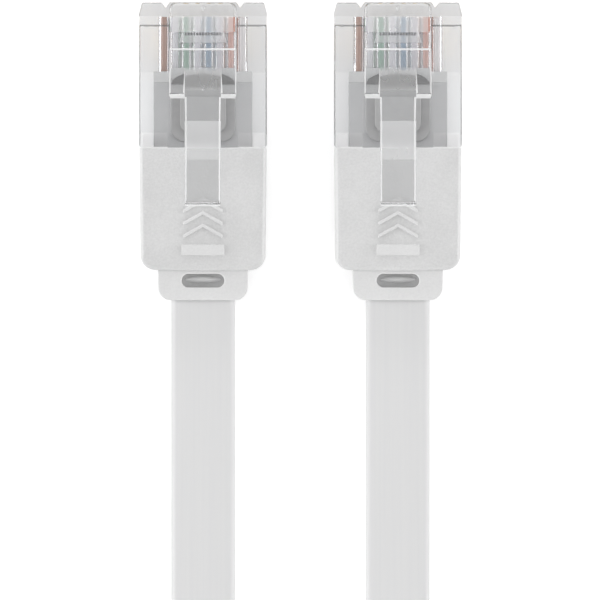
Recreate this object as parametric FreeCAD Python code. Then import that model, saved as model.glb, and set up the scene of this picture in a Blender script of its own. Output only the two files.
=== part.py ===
import FreeCAD
import Part
import math
import os

# Flat ethernet patch cable with a moulded eight-way modular plug on each end.
# Millimetres. +Y towards the noses, +Z up, the contact side lies on z = 0.
# The origin is midway between the two plugs, under the middle of their length.

Vector = FreeCAD.Vector

# Plug body, clear
PLUG_WIDTH = 11.68
PLUG_LENGTH = 13.26
DECK_HEIGHT = 6.6
NOSE_HEIGHT = 5.7
NOSE_STEP = 2.16
NOSE_TAPER = 0.27
NOSE_TAPER_LENGTH = 1.0
EAR_GROOVE_DEPTH = 0.5
EAR_GROOVE_WIDTH = 0.7
DECK_EDGE = 0.12
DECK_CORNER = 0.35
REAR_CORNER = 0.3
PLUG_SPACING = 17.8
CHANNEL_FLOOR = 4.95
CLAMP_POCKET_LENGTH = 1.05
CLAMP_POCKET_WIDTH = 3.7
CLAMP_POCKET_FLARE = 0.25
CLAMP_POCKET_DEPTH = 0.35

# Latch, clear, hinged at its root behind the nose
LATCH_WIDTH = 6.1
LATCH_SIDE_GAP = 0.15
HINGE_SETBACK = 2.7
HINGE_RADIUS = 0.3
HINGE_GAP = 0.08
LATCH_ANGLE = 19.0
ROOT_HEIGHT = 6.1
WEDGE_SETBACK = 4.3
CATCH_SETBACK = 8.7
CATCH_RISE = 1.0
WEDGE_STEP = 0.12
WEDGE_STEP_LENGTH = 0.22
TAB_WIDTH = 3.3
TAB_THICKNESS = 0.95
TAB_END_SETBACK = 18.55
TAB_EDGE = 0.35
TAB_SIDE_EDGE = 0.2
GATE_RADIUS = 0.22
GATE_HEIGHT = 0.1
GATE_SETBACK = 8.0
ROOT_CORNER = 0.6

# Wires, contacts and what spaces them
WIRE_COUNT = 8
WIRE_PITCH = 1.02
WIRE_DIAMETER = 0.92
CORE_WIDTH = 0.5
WIRE_HEIGHT = 3.6
WIRE_START = 1.3
WIRE_SIDES = 12
WAY_GAP = 0.04
SLOT_WIDTH = 0.6
SLOT_DEPTH = 2.4
SLOT_END = 5.4
BLADE_THICKNESS = 0.34
BLADE_FRONT = 1.4
BLADE_LENGTH = 3.65
BLADE_BOTTOM = 0.45
BLADE_CORNER = 0.7
TANG_WIDTH = 0.5
TANG_SPACING = 1.9
TANG_SETBACK = 0.85

# Rear cavity with its load bar and inner mould
CAVITY_FRONT = 6.3
CAVITY_WIDTH = 9.0
CAVITY_FLOOR = 0.9
CAVITY_TOP = 4.4
BAR_LENGTH = 1.0
MOULD_REACH = 5.34
MOULD_TAIL_WIDTH = 7.2
MOULD_TAIL_HEIGHT = 3.9
WINDOW_WIDTH = 5.9
WINDOW_FRONT = 7.86
WINDOW_LENGTH = 4.85
WINDOW_CORNER = 1.25
DOME_LENGTH = 1.28
GROOVE_WIDTH = 0.85
GROOVE_DEPTH = 0.35
LUG_WIDTH = 0.88
LUG_REACH = 1.2
LUG_INSET = 0.1
LUG_LOW = 1.4
LUG_HIGH = 5.2

# Boot, overmoulded
BOOT_LENGTH = 11.26
BOOT_FRONT_WIDTH = 11.62
BOOT_REAR_WIDTH = 11.38
BOOT_CORNER = 1.35
BOOT_EDGE = 0.5
BOOT_BOW = 0.16
BAR_MARK_WIDTH = 3.9
BAR_MARK_DEPTH = 1.0
BAR_MARK_SETBACK = 22.1
MARK_HEIGHT = 0.2
CHEVRON_COUNT = 3
CHEVRON_WIDTH = 3.6
CHEVRON_RISE = 1.0
CHEVRON_STROKE = 0.32
CHEVRON_PITCH = 1.15
CHEVRON_SETBACK = 17.9
NECK_LENGTH = 2.68
NECK_WIDTH = 8.26
NECK_END_WIDTH = 8.1
NECK_CORNER = 1.15
NECK_FLOOR = 1.0
NECK_TOP = 5.5
NECK_SLOT_LENGTH = 3.9
NECK_SLOT_WIDTH = 1.25
NECK_SLOT_DEPTH = 1.2
NECK_SLOT_SETBACK = 25.4

# Flat cable
CABLE_WIDTH = 5.85
CABLE_THICKNESS = 1.45
CABLE_EDGE = 0.45
CABLE_HEIGHT = 3.2
LOFT_STEP = 5.0

# Hank of the stored length: loops on edge in two layers, drawn in at the waist
LOOP_RUNS = 6
LOOP_PITCH = 2.8
LOOP_HALF_WIDTH = 19.7
WAIST_DRAW = 14.0
HANK_NEAR = -91.0
HANK_LENGTH = 75.1
LAYER_GAP = 0.15
CLIMB_PARTS = 3
MEASURE_STEP = 2.0

# Hook-and-loop strap round the waist
TIE_THICKNESS = 0.6
TIE_WIDTH = 7.0
TIE_GAP = 0.45
TIE_FIT = 0.05
TIE_CORNER = 0.5
TIE_TAIL = 9.0

# How far a cutting form runs past a face, and a raised form starts below one
OVER = 1.0
SUNK = 0.5

# What follows from these
TOTAL_LENGTH = PLUG_LENGTH + BOOT_LENGTH + NECK_LENGTH
NOSE_Y = TOTAL_LENGTH / 2
HINGE_Z = ROOT_HEIGHT - 2 * HINGE_RADIUS - HINGE_GAP
CHANNEL_WIDTH = LATCH_WIDTH + 2 * LATCH_SIDE_GAP
MOULD_FRONT = CAVITY_FRONT + BAR_LENGTH
MOULD_END = PLUG_LENGTH + MOULD_REACH
JACKET_Y = NOSE_Y - MOULD_END
LOW_Z = TIE_THICKNESS + TIE_FIT + CABLE_WIDTH / 2
HIGH_Z = LOW_Z + CABLE_WIDTH + LAYER_GAP
CLIMB_RUN = LOOP_RUNS // 2 - 1

# Route of each lead, from inside its boot to the hank, chosen by hand.
# Flat on the surface where it starts, on edge where it joins the hank.
LEAD_A = [
    (-PLUG_SPACING / 2, JACKET_Y, CABLE_HEIGHT),
    (-PLUG_SPACING / 2, -20.0, CABLE_HEIGHT),
    (-8.9, -34.0, 1.1),
    (-8.9, -46.0, 0.8),
    (-9.9, -57.0, 2.2),
    (-14.0, -68.0, 3.4),
    (-18.9, -78.0, 3.7),
    (-LOOP_HALF_WIDTH, HANK_NEAR, LOW_Z),
]
LEAD_B = [
    (PLUG_SPACING / 2, JACKET_Y, CABLE_HEIGHT),
    (PLUG_SPACING / 2, -20.0, CABLE_HEIGHT),
    (8.9, -34.0, 1.1),
    (8.9, -46.0, 0.8),
    (10.1, -56.0, 3.0),
    (15.0, -66.0, 7.2),
    (20.2, -76.0, 9.7),
    (LOOP_HALF_WIDTH + LOOP_PITCH / 2, HANK_NEAR, HIGH_Z),
]
TWIST_START = 44.0
TWIST_LENGTH = 40.0


def box(x_half, front, back, low, high):
    """A box centred on the plug, between two setbacks behind the nose."""
    corner = Vector(-x_half, NOSE_Y - back, low)
    return Part.makeBox(2 * x_half, back - front, high - low, corner)


def prism(points, direction):
    """A solid from a closed outline of points, carried along a direction."""
    outline = Part.makePolygon([Vector(*p) for p in points + points[:1]])
    return Part.Face(outline).extrude(Vector(*direction))


def plan(points, low, high):
    """A prism from (x, setback) points, mirror-symmetric about the plug's middle."""
    right = [(x, NOSE_Y - d, low) for x, d in points]
    left = [(-x, y, z) for x, y, z in reversed(right) if x > 0]
    return prism(right + left, (0, 0, high - low))


def side(points, half_width):
    """A prism from (setback, height) points, across the plug."""
    outline = [(-half_width, NOSE_Y - d, z) for d, z in points]
    return prism(outline, (2 * half_width, 0, 0))


def stadium(width, length, setback, low, high):
    """An upright solid with round ends, wider across than along, by its front setback."""
    r = length / 2
    y = NOSE_Y - setback - r
    x = width / 2 - r
    edges = [
        Part.makeLine(Vector(-x, y - r, low), Vector(x, y - r, low)),
        Part.Arc(Vector(x, y - r, low), Vector(x + r, y, low), Vector(x, y + r, low)).toShape(),
        Part.makeLine(Vector(x, y + r, low), Vector(-x, y + r, low)),
        Part.Arc(Vector(-x, y + r, low), Vector(-x - r, y, low), Vector(-x, y - r, low)).toShape(),
    ]
    return Part.Face(Part.Wire(edges)).extrude(Vector(0, 0, high - low))


def wire_x(i):
    """How far wire i lies from the plug's middle."""
    return (i - (WIRE_COUNT - 1) / 2) * WIRE_PITCH


def wire_rod(i, radius, start, end):
    """A round rod along wire i, between two setbacks behind the nose."""
    first = Vector(wire_x(i), NOSE_Y - start, WIRE_HEIGHT)
    return Part.makeCylinder(radius, end - start, first, Vector(0, -1, 0))


def core(i):
    """The conductor of wire i: seven strands, whose outline together is a hexagon."""
    return many_sided_rod(i, CORE_WIDTH / math.sqrt(3), 6)


def many_sided_rod(i, corner, sides):
    """A rod along the whole of wire i, from its corners' distance and its number of sides."""
    outline = []
    for k in range(sides):
        angle = 2 * math.pi * k / sides
        x = wire_x(i) + corner * math.cos(angle)
        outline.append((x, NOSE_Y - WIRE_START, WIRE_HEIGHT + corner * math.sin(angle)))
    return prism(outline, (0, WIRE_START - MOULD_FRONT, 0))


def insulation(i):
    """The coat of wire i, open below where the contact's two tangs pierce it."""
    coat = many_sided_rod(i, WIRE_DIAMETER / 2, WIRE_SIDES).cut(core(i))
    for front in tang_setbacks():
        notch = box(BLADE_THICKNESS / 2, front, front + TANG_WIDTH, 0, WIRE_HEIGHT)
        coat = coat.cut(notch.translated(Vector(wire_x(i), 0, 0)))
    return coat


def tang_setbacks():
    """Where the front of each tang lies behind the nose."""
    first = BLADE_FRONT + TANG_SETBACK
    return first, first + TANG_SPACING


def route_pieces(points):
    """The straight runs and tangent arcs of a route, as (start, end, bulge) in order.

    Each corner's arc has the radius 0.45 of its shorter run over the tangent of half the turn,
    so it starts 0.45 of that run before the corner.
    """
    pieces = []
    at = points[0]
    for before, corner, after in zip(points, points[1:], points[2:]):
        into = (corner - before).normalize()
        out = (after - corner).normalize()
        reach = 0.45 * min((corner - before).Length, (after - corner).Length)
        half_turn = into.getAngle(out) / 2
        radius = reach / math.tan(half_turn)
        start = corner - into * reach
        end = corner + out * reach
        inward = (out - into).normalize()
        bulge = corner + inward * (radius / math.cos(half_turn) - radius)
        pieces.append((at, start, None))
        pieces.append((start, end, bulge))
        at = end
    pieces.append((at, points[-1], None))
    return pieces


def rounded_route(points):
    """A route's edges: straight runs joined by tangent arcs."""
    edges = []
    for start, end, bulge in route_pieces(points):
        if bulge is None:
            edges.append(Part.makeLine(start, end))
        else:
            edges.append(Part.Arc(start, bulge, end).toShape())
    return edges


def arc_radii(points):
    """The radius of each arc on a route."""
    arcs = [Part.Arc(a, m, b).toShape() for a, b, m in route_pieces(points) if m is not None]
    return [arc.Curve.Radius for arc in arcs]


def plug_body():
    """The clear body: nose, side decks, channel for the latch, slots, bores and rear cavity."""
    body = body_block().fuse(latch_root())
    seat = Part.makeCylinder(
        HINGE_RADIUS + HINGE_GAP,
        CHANNEL_WIDTH,
        Vector(-CHANNEL_WIDTH / 2, NOSE_Y - HINGE_SETBACK, HINGE_Z),
        Vector(1, 0, 0),
    )
    cavity = box(CAVITY_WIDTH / 2, CAVITY_FRONT, PLUG_LENGTH + OVER, CAVITY_FLOOR, CAVITY_TOP)
    opening = window(0, CAVITY_TOP - SUNK, CHANNEL_FLOOR + OVER)
    body = body.cut([seat, clamp_pocket(), cavity, opening, dome()] + lugs(OVER))
    for i in range(WIRE_COUNT):
        body = body.cut(wire_way(i))
    return body.removeSplitter()


def body_block():
    """The body's outside: tapered nose, grooved front, lower nose, decks and open channel."""
    half = PLUG_WIDTH / 2
    groove = LATCH_WIDTH / 2
    outline = [
        (0, 0),
        (groove, 0),
        (groove + EAR_GROOVE_WIDTH / 2, EAR_GROOVE_DEPTH),
        (groove + EAR_GROOVE_WIDTH, 0),
        (half - NOSE_TAPER, 0),
        (half, NOSE_TAPER_LENGTH),
        (half, PLUG_LENGTH),
        (0, PLUG_LENGTH),
    ]
    nose_end = NOSE_STEP + DECK_CORNER
    nose_step = box(half + OVER, -OVER, nose_end, NOSE_HEIGHT, DECK_HEIGHT + OVER)
    decks = box(half, NOSE_STEP, nose_end + OVER, NOSE_HEIGHT, DECK_HEIGHT + OVER)
    nose_step = nose_step.cut(rounded(decks, DECK_CORNER, NOSE_Y - nose_end, NOSE_Y))
    edges = []
    for mirror in (-1, 1):
        edge = [
            (mirror * (half - DECK_EDGE), NOSE_Y + OVER, DECK_HEIGHT + OVER),
            (mirror * (half - DECK_EDGE), NOSE_Y + OVER, DECK_HEIGHT),
            (mirror * half, NOSE_Y + OVER, DECK_HEIGHT - DECK_EDGE),
            (mirror * (half + OVER), NOSE_Y + OVER, DECK_HEIGHT - DECK_EDGE),
        ]
        edges.append(prism(edge, (0, -PLUG_LENGTH - 2 * OVER, 0)))
    channel = box(
        CHANNEL_WIDTH / 2, NOSE_STEP, PLUG_LENGTH + OVER, CHANNEL_FLOOR, DECK_HEIGHT + 2 * OVER
    )
    rear = NOSE_Y - PLUG_LENGTH
    block = rounded(plan(outline, 0, DECK_HEIGHT), REAR_CORNER, rear - SUNK, rear + SUNK)
    return block.cut([nose_step, channel] + edges)


def rounded(block, radius, y_low, y_high):
    """A block with its upright edges between two places along Y rounded."""
    edges = [e for e in block.Edges if is_upright(e) and y_low < e.CenterOfMass.y < y_high]
    return block.makeFillet(radius, edges)


def wire_way(i):
    """What wire i and its contact need: an arched way, a seat for the blade and an open slot."""
    radius = WIRE_DIAMETER / 2 + WAY_GAP
    across = Vector(wire_x(i), 0, 0)
    crown = wire_rod(i, radius, WIRE_START, CAVITY_FRONT + OVER)
    walls = box(radius, WIRE_START, CAVITY_FRONT + OVER, WIRE_HEIGHT - radius, WIRE_HEIGHT)
    slot = box(SLOT_WIDTH / 2, -OVER, SLOT_END, -OVER, SLOT_DEPTH)
    blade_end = BLADE_FRONT + BLADE_LENGTH
    seat = box(BLADE_THICKNESS / 2, BLADE_FRONT, blade_end, SLOT_DEPTH - SUNK, WIRE_HEIGHT)
    boxes = [piece.translated(across) for piece in (walls, slot, seat)]
    return crown.fuse(boxes).removeSplitter()


def clamp_pocket():
    """The shallow flared pocket in the channel's floor over the wires, behind the latch's root."""
    back = HINGE_SETBACK + CLAMP_POCKET_LENGTH
    outline = [
        (0, HINGE_SETBACK),
        (CLAMP_POCKET_WIDTH / 2, HINGE_SETBACK),
        (CLAMP_POCKET_WIDTH / 2 + CLAMP_POCKET_FLARE, back),
        (0, back),
    ]
    return plan(outline, CHANNEL_FLOOR - CLAMP_POCKET_DEPTH, CHANNEL_FLOOR + OVER)


def latch_root():
    """The fixed block at the nose that the latch bends from, with round front corners."""
    block = box(LATCH_WIDTH / 2, 0, HINGE_SETBACK, CHANNEL_FLOOR - SUNK, ROOT_HEIGHT)
    return rounded(block, ROOT_CORNER, NOSE_Y - SUNK, NOSE_Y + SUNK)


def lugs(run_past):
    """The boot's two locking lugs in the body's side walls, run past the joint by a distance."""
    left = Part.makeBox(
        LUG_WIDTH,
        LUG_REACH + run_past,
        LUG_HIGH - LUG_LOW,
        Vector(-CAVITY_WIDTH / 2 - LUG_INSET - LUG_WIDTH, NOSE_Y - PLUG_LENGTH - run_past, LUG_LOW),
    )
    return [left, left.mirror(Vector(0, 0, 0), Vector(1, 0, 0))]


def window(shrink, low, high):
    """The long opening in the channel's floor over the inner mould, with round rear corners."""
    front, back = WINDOW_FRONT + shrink, WINDOW_FRONT + WINDOW_LENGTH - shrink
    rear = NOSE_Y - back
    block = box(WINDOW_WIDTH / 2 - shrink, front, back, low, high)
    return rounded(block, WINDOW_CORNER - shrink / 2, rear - SUNK, rear + SUNK)


def dome():
    """The opening ahead of the window: half an ellipse in plan, down to the load bar."""
    centre = Vector(0, NOSE_Y - WINDOW_FRONT, CAVITY_TOP - SUNK)
    half = WINDOW_WIDTH / 2
    arch = Part.Ellipse(centre, half, DOME_LENGTH)
    arch = Part.ArcOfEllipse(arch, 0, math.pi).toShape()
    chord = Part.makeLine(centre - Vector(half, 0, 0), centre + Vector(half, 0, 0))
    height = CHANNEL_FLOOR + OVER - centre.z
    return Part.Face(Part.Wire([arch, chord])).extrude(Vector(0, 0, height))


def latch():
    """The sprung latch: a ramped arm, a groove between two catch shoulders, and a finger tab."""
    slope = math.cos(math.radians(LATCH_ANGLE))
    wedge, catch, end, gate = (
        (setback - HINGE_SETBACK) / slope
        for setback in (WEDGE_SETBACK, CATCH_SETBACK, TAB_END_SETBACK, GATE_SETBACK)
    )
    under = -HINGE_RADIUS
    top = under + TAB_THICKNESS
    arm = side_along(
        [
            (0, under),
            (0, HINGE_RADIUS),
            (wedge, HINGE_RADIUS),
            (wedge + WEDGE_STEP_LENGTH, HINGE_RADIUS + WEDGE_STEP),
            (catch, CATCH_RISE),
            (catch, under),
        ],
        LATCH_WIDTH / 2,
    )
    groove = side_along(
        [(0, top), (catch + OVER, top), (catch + OVER, CATCH_RISE + OVER), (0, CATCH_RISE + OVER)],
        TAB_WIDTH / 2,
    )
    tab = side_along(
        [
            (catch - SUNK, under),
            (catch - SUNK, top),
            (end - TAB_EDGE, top),
            (end, top - TAB_EDGE),
            (end, under),
        ],
        TAB_WIDTH / 2,
    )
    sides = [e for e in tab.Edges if is_at(e, under) and e.BoundBox.YLength > TAB_WIDTH]
    tab = tab.makeChamfer(TAB_SIDE_EDGE, sides)
    knuckle = Part.makeCylinder(
        HINGE_RADIUS, LATCH_WIDTH, Vector(-LATCH_WIDTH / 2, 0, 0), Vector(1, 0, 0)
    )
    middle = top - TAB_THICKNESS / 2
    nub = Part.makeCylinder(GATE_RADIUS, TAB_THICKNESS / 2 + GATE_HEIGHT, Vector(0, -gate, middle))
    piece = arm.cut(groove).fuse([knuckle, tab, nub]).removeSplitter()
    piece.rotate(Vector(0, 0, 0), Vector(1, 0, 0), -LATCH_ANGLE)
    return piece.translated(Vector(0, NOSE_Y - HINGE_SETBACK, HINGE_Z))


def side_along(points, half_width):
    """A prism from (distance, height) points measured from the hinge along the arm."""
    outline = [(-half_width, -u, v) for u, v in points]
    return prism(outline, (2 * half_width, 0, 0))


def contact(i):
    """One flat blade with a rounded lower front corner and two pointed tangs in the wire."""
    x = wire_x(i) - BLADE_THICKNESS / 2
    front = NOSE_Y - BLADE_FRONT
    top = WIRE_HEIGHT - WIRE_DIAMETER / 2
    peak = WIRE_HEIGHT - CORE_WIDTH / 2
    outline = [(front, top)]
    for setback in tang_setbacks():
        y = NOSE_Y - setback
        outline += [(y, top), (y - TANG_WIDTH / 2, peak), (y - TANG_WIDTH, top)]
    outline += [
        (front - BLADE_LENGTH, top),
        (front - BLADE_LENGTH, BLADE_BOTTOM),
        (front - BLADE_CORNER, BLADE_BOTTOM),
    ]
    points = [Vector(x, y, z) for y, z in outline]
    edges = [Part.makeLine(a, b) for a, b in zip(points, points[1:])]
    inset = BLADE_CORNER * (1 - math.sqrt(0.5))
    rim = Vector(x, front, BLADE_BOTTOM + BLADE_CORNER)
    bend = Part.Arc(points[-1], Vector(x, front - inset, BLADE_BOTTOM + inset), rim)
    edges.append(bend.toShape())
    edges.append(Part.makeLine(rim, points[0]))
    return Part.Face(Part.Wire(edges)).extrude(Vector(BLADE_THICKNESS, 0, 0))


def load_bar():
    """A short block with a square hole for each wire."""
    bar = box(CAVITY_WIDTH / 2, CAVITY_FRONT, MOULD_FRONT, CAVITY_FLOOR, CAVITY_TOP)
    half = WIRE_DIAMETER / 2 + WAY_GAP
    low, high = WIRE_HEIGHT - half, WIRE_HEIGHT + half
    hole = box(half, CAVITY_FRONT - OVER, MOULD_FRONT + OVER, low, high)
    return bar.cut([hole.translated(Vector(wire_x(i), 0, 0)) for i in range(WIRE_COUNT)])


def mould_tail():
    """The part of the inner mould that the boot is moulded over."""
    half_height = MOULD_TAIL_HEIGHT / 2
    low, high = CABLE_HEIGHT - half_height, CABLE_HEIGHT + half_height
    return box(MOULD_TAIL_WIDTH / 2, PLUG_LENGTH, MOULD_END, low, high)


def inner_mould():
    """The grey mould that closes over the wires, fills the window and anchors the boot."""
    block = box(CAVITY_WIDTH / 2, MOULD_FRONT, PLUG_LENGTH, CAVITY_FLOOR, CAVITY_TOP)
    fill = window(0, CAVITY_TOP - SUNK, CHANNEL_FLOOR)
    ring = window(0, CHANNEL_FLOOR - GROOVE_DEPTH, CHANNEL_FLOOR + OVER)
    ring = ring.cut(window(GROOVE_WIDTH, CHANNEL_FLOOR - OVER, CHANNEL_FLOOR + 2 * OVER))
    return block.fuse([fill, mould_tail()]).cut(ring).removeSplitter()


def boot():
    """The boot and its neck, with a marked top, a strain-relief slot and the cable's bore."""
    rear = PLUG_LENGTH + BOOT_LENGTH
    outline = [
        (0, PLUG_LENGTH),
        (BOOT_FRONT_WIDTH / 2, PLUG_LENGTH),
        (BOOT_REAR_WIDTH / 2, rear),
        (0, rear),
    ]
    bow = (BOOT_REAR_WIDTH**2 / 4 + BOOT_BOW**2) / (2 * BOOT_BOW)
    drum = Part.makeCylinder(bow, DECK_HEIGHT, Vector(0, NOSE_Y - rear + bow, 0))
    shell = plan(outline, 0, DECK_HEIGHT).common(drum)
    shell = rounded(shell, BOOT_CORNER, NOSE_Y - rear - SUNK, NOSE_Y - rear + SUNK)
    front = NOSE_Y - PLUG_LENGTH - SUNK
    rim = [e for e in shell.Edges if is_at(e, DECK_HEIGHT) and e.CenterOfMass.y < front]
    shell = shell.makeFillet(BOOT_EDGE, rim)
    slot = stadium(
        NECK_SLOT_LENGTH,
        NECK_SLOT_WIDTH,
        NECK_SLOT_SETBACK - NECK_SLOT_WIDTH / 2,
        NECK_TOP - NECK_SLOT_DEPTH,
        NECK_TOP + OVER,
    )
    bore = Part.Face(flat_section(Vector(0, JACKET_Y + OVER, CABLE_HEIGHT), Vector(0, -1, 0), 0))
    bore = bore.extrude(Vector(0, -TOTAL_LENGTH, 0))
    marks = [bar_mark()] + [chevron(i) for i in range(CHEVRON_COUNT)]
    shell = shell.fuse([neck()] + lugs(0) + marks)
    return shell.cut([slot, mould_tail(), bore]).removeSplitter()


def neck():
    """The narrower neck behind the boot, with round rear corners."""
    start = PLUG_LENGTH + BOOT_LENGTH - SUNK
    outline = [
        (0, start),
        (NECK_WIDTH / 2, start),
        (NECK_END_WIDTH / 2, TOTAL_LENGTH),
        (0, TOTAL_LENGTH),
    ]
    block = plan(outline, NECK_FLOOR, NECK_TOP)
    return rounded(block, NECK_CORNER, -NOSE_Y - SUNK, SUNK - NOSE_Y)


def bar_mark():
    """The plain raised bar near the boot's rear."""
    back = BAR_MARK_SETBACK + BAR_MARK_DEPTH
    top = DECK_HEIGHT + MARK_HEIGHT
    return box(BAR_MARK_WIDTH / 2, BAR_MARK_SETBACK, back, DECK_HEIGHT - SUNK, top)


def chevron(i):
    """A raised arrowhead that points the way the plug goes in."""
    tip = CHEVRON_SETBACK + i * CHEVRON_PITCH
    half = CHEVRON_WIDTH / 2
    outline = [
        (0, tip),
        (half, tip + CHEVRON_RISE),
        (half, tip + CHEVRON_RISE + CHEVRON_STROKE),
        (0, tip + CHEVRON_STROKE),
    ]
    return plan(outline, DECK_HEIGHT - SUNK, DECK_HEIGHT + MARK_HEIGHT)


def is_upright(edge):
    """True for an edge along Z."""
    box_of = edge.BoundBox
    return box_of.ZLength > 0.1 and box_of.XLength + box_of.YLength < 1e-6


def is_at(edge, height):
    """True for a level edge at a height."""
    box_of = edge.BoundBox
    return box_of.ZLength < 1e-6 and abs(box_of.ZMin - height) < 1e-6


def flat_section(centre, along, turn):
    """The cable's six-sided outline, turned from flat (0) to on edge (90 degrees)."""
    along = Vector(along).normalize()
    level = along.cross(Vector(0, 0, 1)).normalize()
    rise = level.cross(along)
    angle = math.radians(turn)
    wide = level * math.cos(angle) + rise * math.sin(angle)
    thin = rise * math.cos(angle) - level * math.sin(angle)
    a = CABLE_WIDTH / 2
    b = CABLE_THICKNESS / 2
    c = CABLE_EDGE
    outline = [(a - c, b), (a, 0), (a - c, -b), (c - a, -b), (-a, 0), (c - a, b)]
    points = [centre + wide * u + thin * v for u, v in outline]
    return Part.makePolygon(points + points[:1])


def along(wire, distance):
    """The place and the direction at a distance along a wire."""
    edges = wire.OrderedEdges
    k = 0
    while k < len(edges) - 1 and distance > edges[k].Length:
        distance -= edges[k].Length
        k += 1
    t = edges[k].getParameterByLength(min(distance, edges[k].Length))
    return edges[k].valueAt(t), edges[k].tangentAt(t)


def smooth(t):
    """0 to 1 with level ends."""
    t = min(1.0, max(0.0, t))
    return t * t * (3 - 2 * t)


def lead(points, turn_sign):
    """A lead of flat cable that turns from flat to on edge past the plug's view."""
    route = [Vector(*p) for p in points]
    wire = Part.Wire(rounded_route(route))
    length = wire.Length
    held = TOTAL_LENGTH - MOULD_END
    count = round((length - held) / LOFT_STEP)
    distances = [0] + [held + (length - held) * i / count for i in range(count + 1)]
    sections = []
    for distance in distances:
        place, direction = along(wire, distance)
        if distance in (distances[0], distances[-1]):
            direction = Vector(0, -1, 0)
        turn = turn_sign * 90 * smooth((-place.y - TWIST_START) / TWIST_LENGTH)
        sections.append(flat_section(place, direction, turn))
    radii = ", ".join(f"{r:.0f}" for r in arc_radii(route))
    solid = Part.makeLoft(sections, True, True)
    area = Part.Face(sections[0]).Area
    print(f"lead: {length:.1f} mm long, arcs {radii} mm, lowest {solid.BoundBox.ZMin:.3f} mm")
    print(f"lead: {solid.Volume:.0f} mm3, and its section times its length is {area * length:.0f} mm3")
    return solid, length


def run_x(k):
    """Where run k of the hank lies at its ends: even runs left, odd runs right."""
    inset = LOOP_PITCH * (1 - abs(k - CLIMB_RUN) / 2)
    return (LOOP_HALF_WIDTH - inset) * (-1 if k % 2 == 0 else 1)


def waist_arc():
    """Radius and turn of the arcs that draw a run in to the waist and out again."""
    h = HANK_LENGTH / 2
    radius = (h * h + WAIST_DRAW * WAIST_DRAW) / (4 * WAIST_DRAW)
    return radius, math.asin(h / (2 * radius))


def run_points(k, z, parts):
    """Points along run k at even turns of its three arcs, 4 * parts + 1 of them."""
    radius, turn = waist_arc()
    x = run_x(k)
    inward = 1 if x < 0 else -1
    down = k % 2 == 0
    first = HANK_NEAR if down else HANK_NEAR - HANK_LENGTH
    way = -1 if down else 1
    points = []
    for j in range(4 * parts + 1):
        t = j / parts
        if t <= 1:
            angle = turn * t
            u, v = radius * (1 - math.cos(angle)), radius * math.sin(angle)
        elif t <= 3:
            angle = turn * (2 - t)
            u = WAIST_DRAW - radius * (1 - math.cos(angle))
            v = HANK_LENGTH / 2 - radius * math.sin(angle)
        else:
            angle = turn * (4 - t)
            u, v = radius * (1 - math.cos(angle)), HANK_LENGTH - radius * math.sin(angle)
        points.append(Vector(x + inward * u, first + way * v, z))
    return points


def run_edges(k, z):
    """Run k as three tangent arcs."""
    p = run_points(k, z, 2)
    arcs = [(p[0], p[1], p[2]), (p[2], p[4], p[6]), (p[6], p[7], p[8])]
    return [Part.Arc(*three).toShape() for three in arcs]


def fold_edges(k, z):
    """The half turn from run k to the next, as two quarter arcs."""
    x0, x1 = run_x(k), run_x(k + 1)
    middle, radius = (x0 + x1) / 2, abs(x1 - x0) / 2
    far = k % 2 == 0
    y = HANK_NEAR - HANK_LENGTH if far else HANK_NEAR
    sign = -1 if far else 1
    start = -1 if far else 1
    places = []
    for j in range(5):
        angle = math.pi * j / 4
        across, along = radius * math.cos(angle), radius * math.sin(angle)
        places.append(Vector(middle + start * across, y + sign * along, z))
    return [Part.Arc(*places[:3]).toShape(), Part.Arc(*places[2:]).toShape()]


def layer(first, last, z, fold_first):
    """One layer's cable: runs and folds from one run to another."""
    edges = fold_edges(first - 1, z) if fold_first else []
    for k in range(first, last + 1):
        edges += run_edges(k, z)
        if k < last or not fold_first:
            edges += fold_edges(k, z)
    path = Part.Wire(edges)
    first = edges[0].FirstParameter
    section = flat_section(edges[0].valueAt(first), edges[0].tangentAt(first), 90)
    return path.makePipeShell([section], True, False), path


def hank():
    """The stored length: in at the low layer, up along one run, out at the high layer."""
    low, low_path = layer(0, CLIMB_RUN - 1, LOW_Z, False)
    high, high_path = layer(CLIMB_RUN + 1, LOOP_RUNS - 1, HIGH_Z, True)
    points = run_points(CLIMB_RUN, LOW_Z, CLIMB_PARTS)
    count = len(points) - 1
    for j, point in enumerate(points):
        point.z = LOW_Z + (HIGH_Z - LOW_Z) * smooth(j / count)
    sections = []
    for j, point in enumerate(points):
        ahead = points[min(j + 1, count)]
        behind = points[max(j - 1, 0)]
        direction = Vector(0, -1, 0) if j in (0, count) else ahead - behind
        sections.append(upright_section(point, direction))
    climb = Part.makeLoft(sections, True, True)
    solid = low.fuse([climb, high])
    climb_length = sum((b - a).Length for a, b in zip(points, points[1:]))
    length = low_path.Length + climb_length + high_path.Length
    area = Part.Face(sections[0]).Area
    print(f"hank: {length:.1f} mm of cable in {len(solid.Solids)} solid")
    print(f"hank: {solid.Volume:.0f} mm3, and its section times its length is {area * length:.0f} mm3")
    centres = spaced(low_path) + points + spaced(high_path)
    return solid, centres, length


def upright_section(centre, direction):
    """The cable on edge, its section kept plumb while it climbs."""
    return flat_section(centre, Vector(direction.x, direction.y, 0), 90)


def spaced(path):
    """Even points along a path of edges, for measuring."""
    points = []
    for edge in path.OrderedEdges:
        points += edge.discretize(max(2, round(edge.Length / MEASURE_STEP)))[:-1]
    return points


def least_gap(centres):
    """The least plan gap between two loops of the hank in one layer, from its centre points."""
    apart = round(HANK_LENGTH / 2 / MEASURE_STEP)
    distances = []
    for i, a in enumerate(centres):
        for b in centres[i + apart:]:
            if abs(a.z - b.z) < CABLE_WIDTH:
                distances.append(math.hypot(a.x - b.x, a.y - b.y))
    return min(distances) - CABLE_THICKNESS


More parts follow.
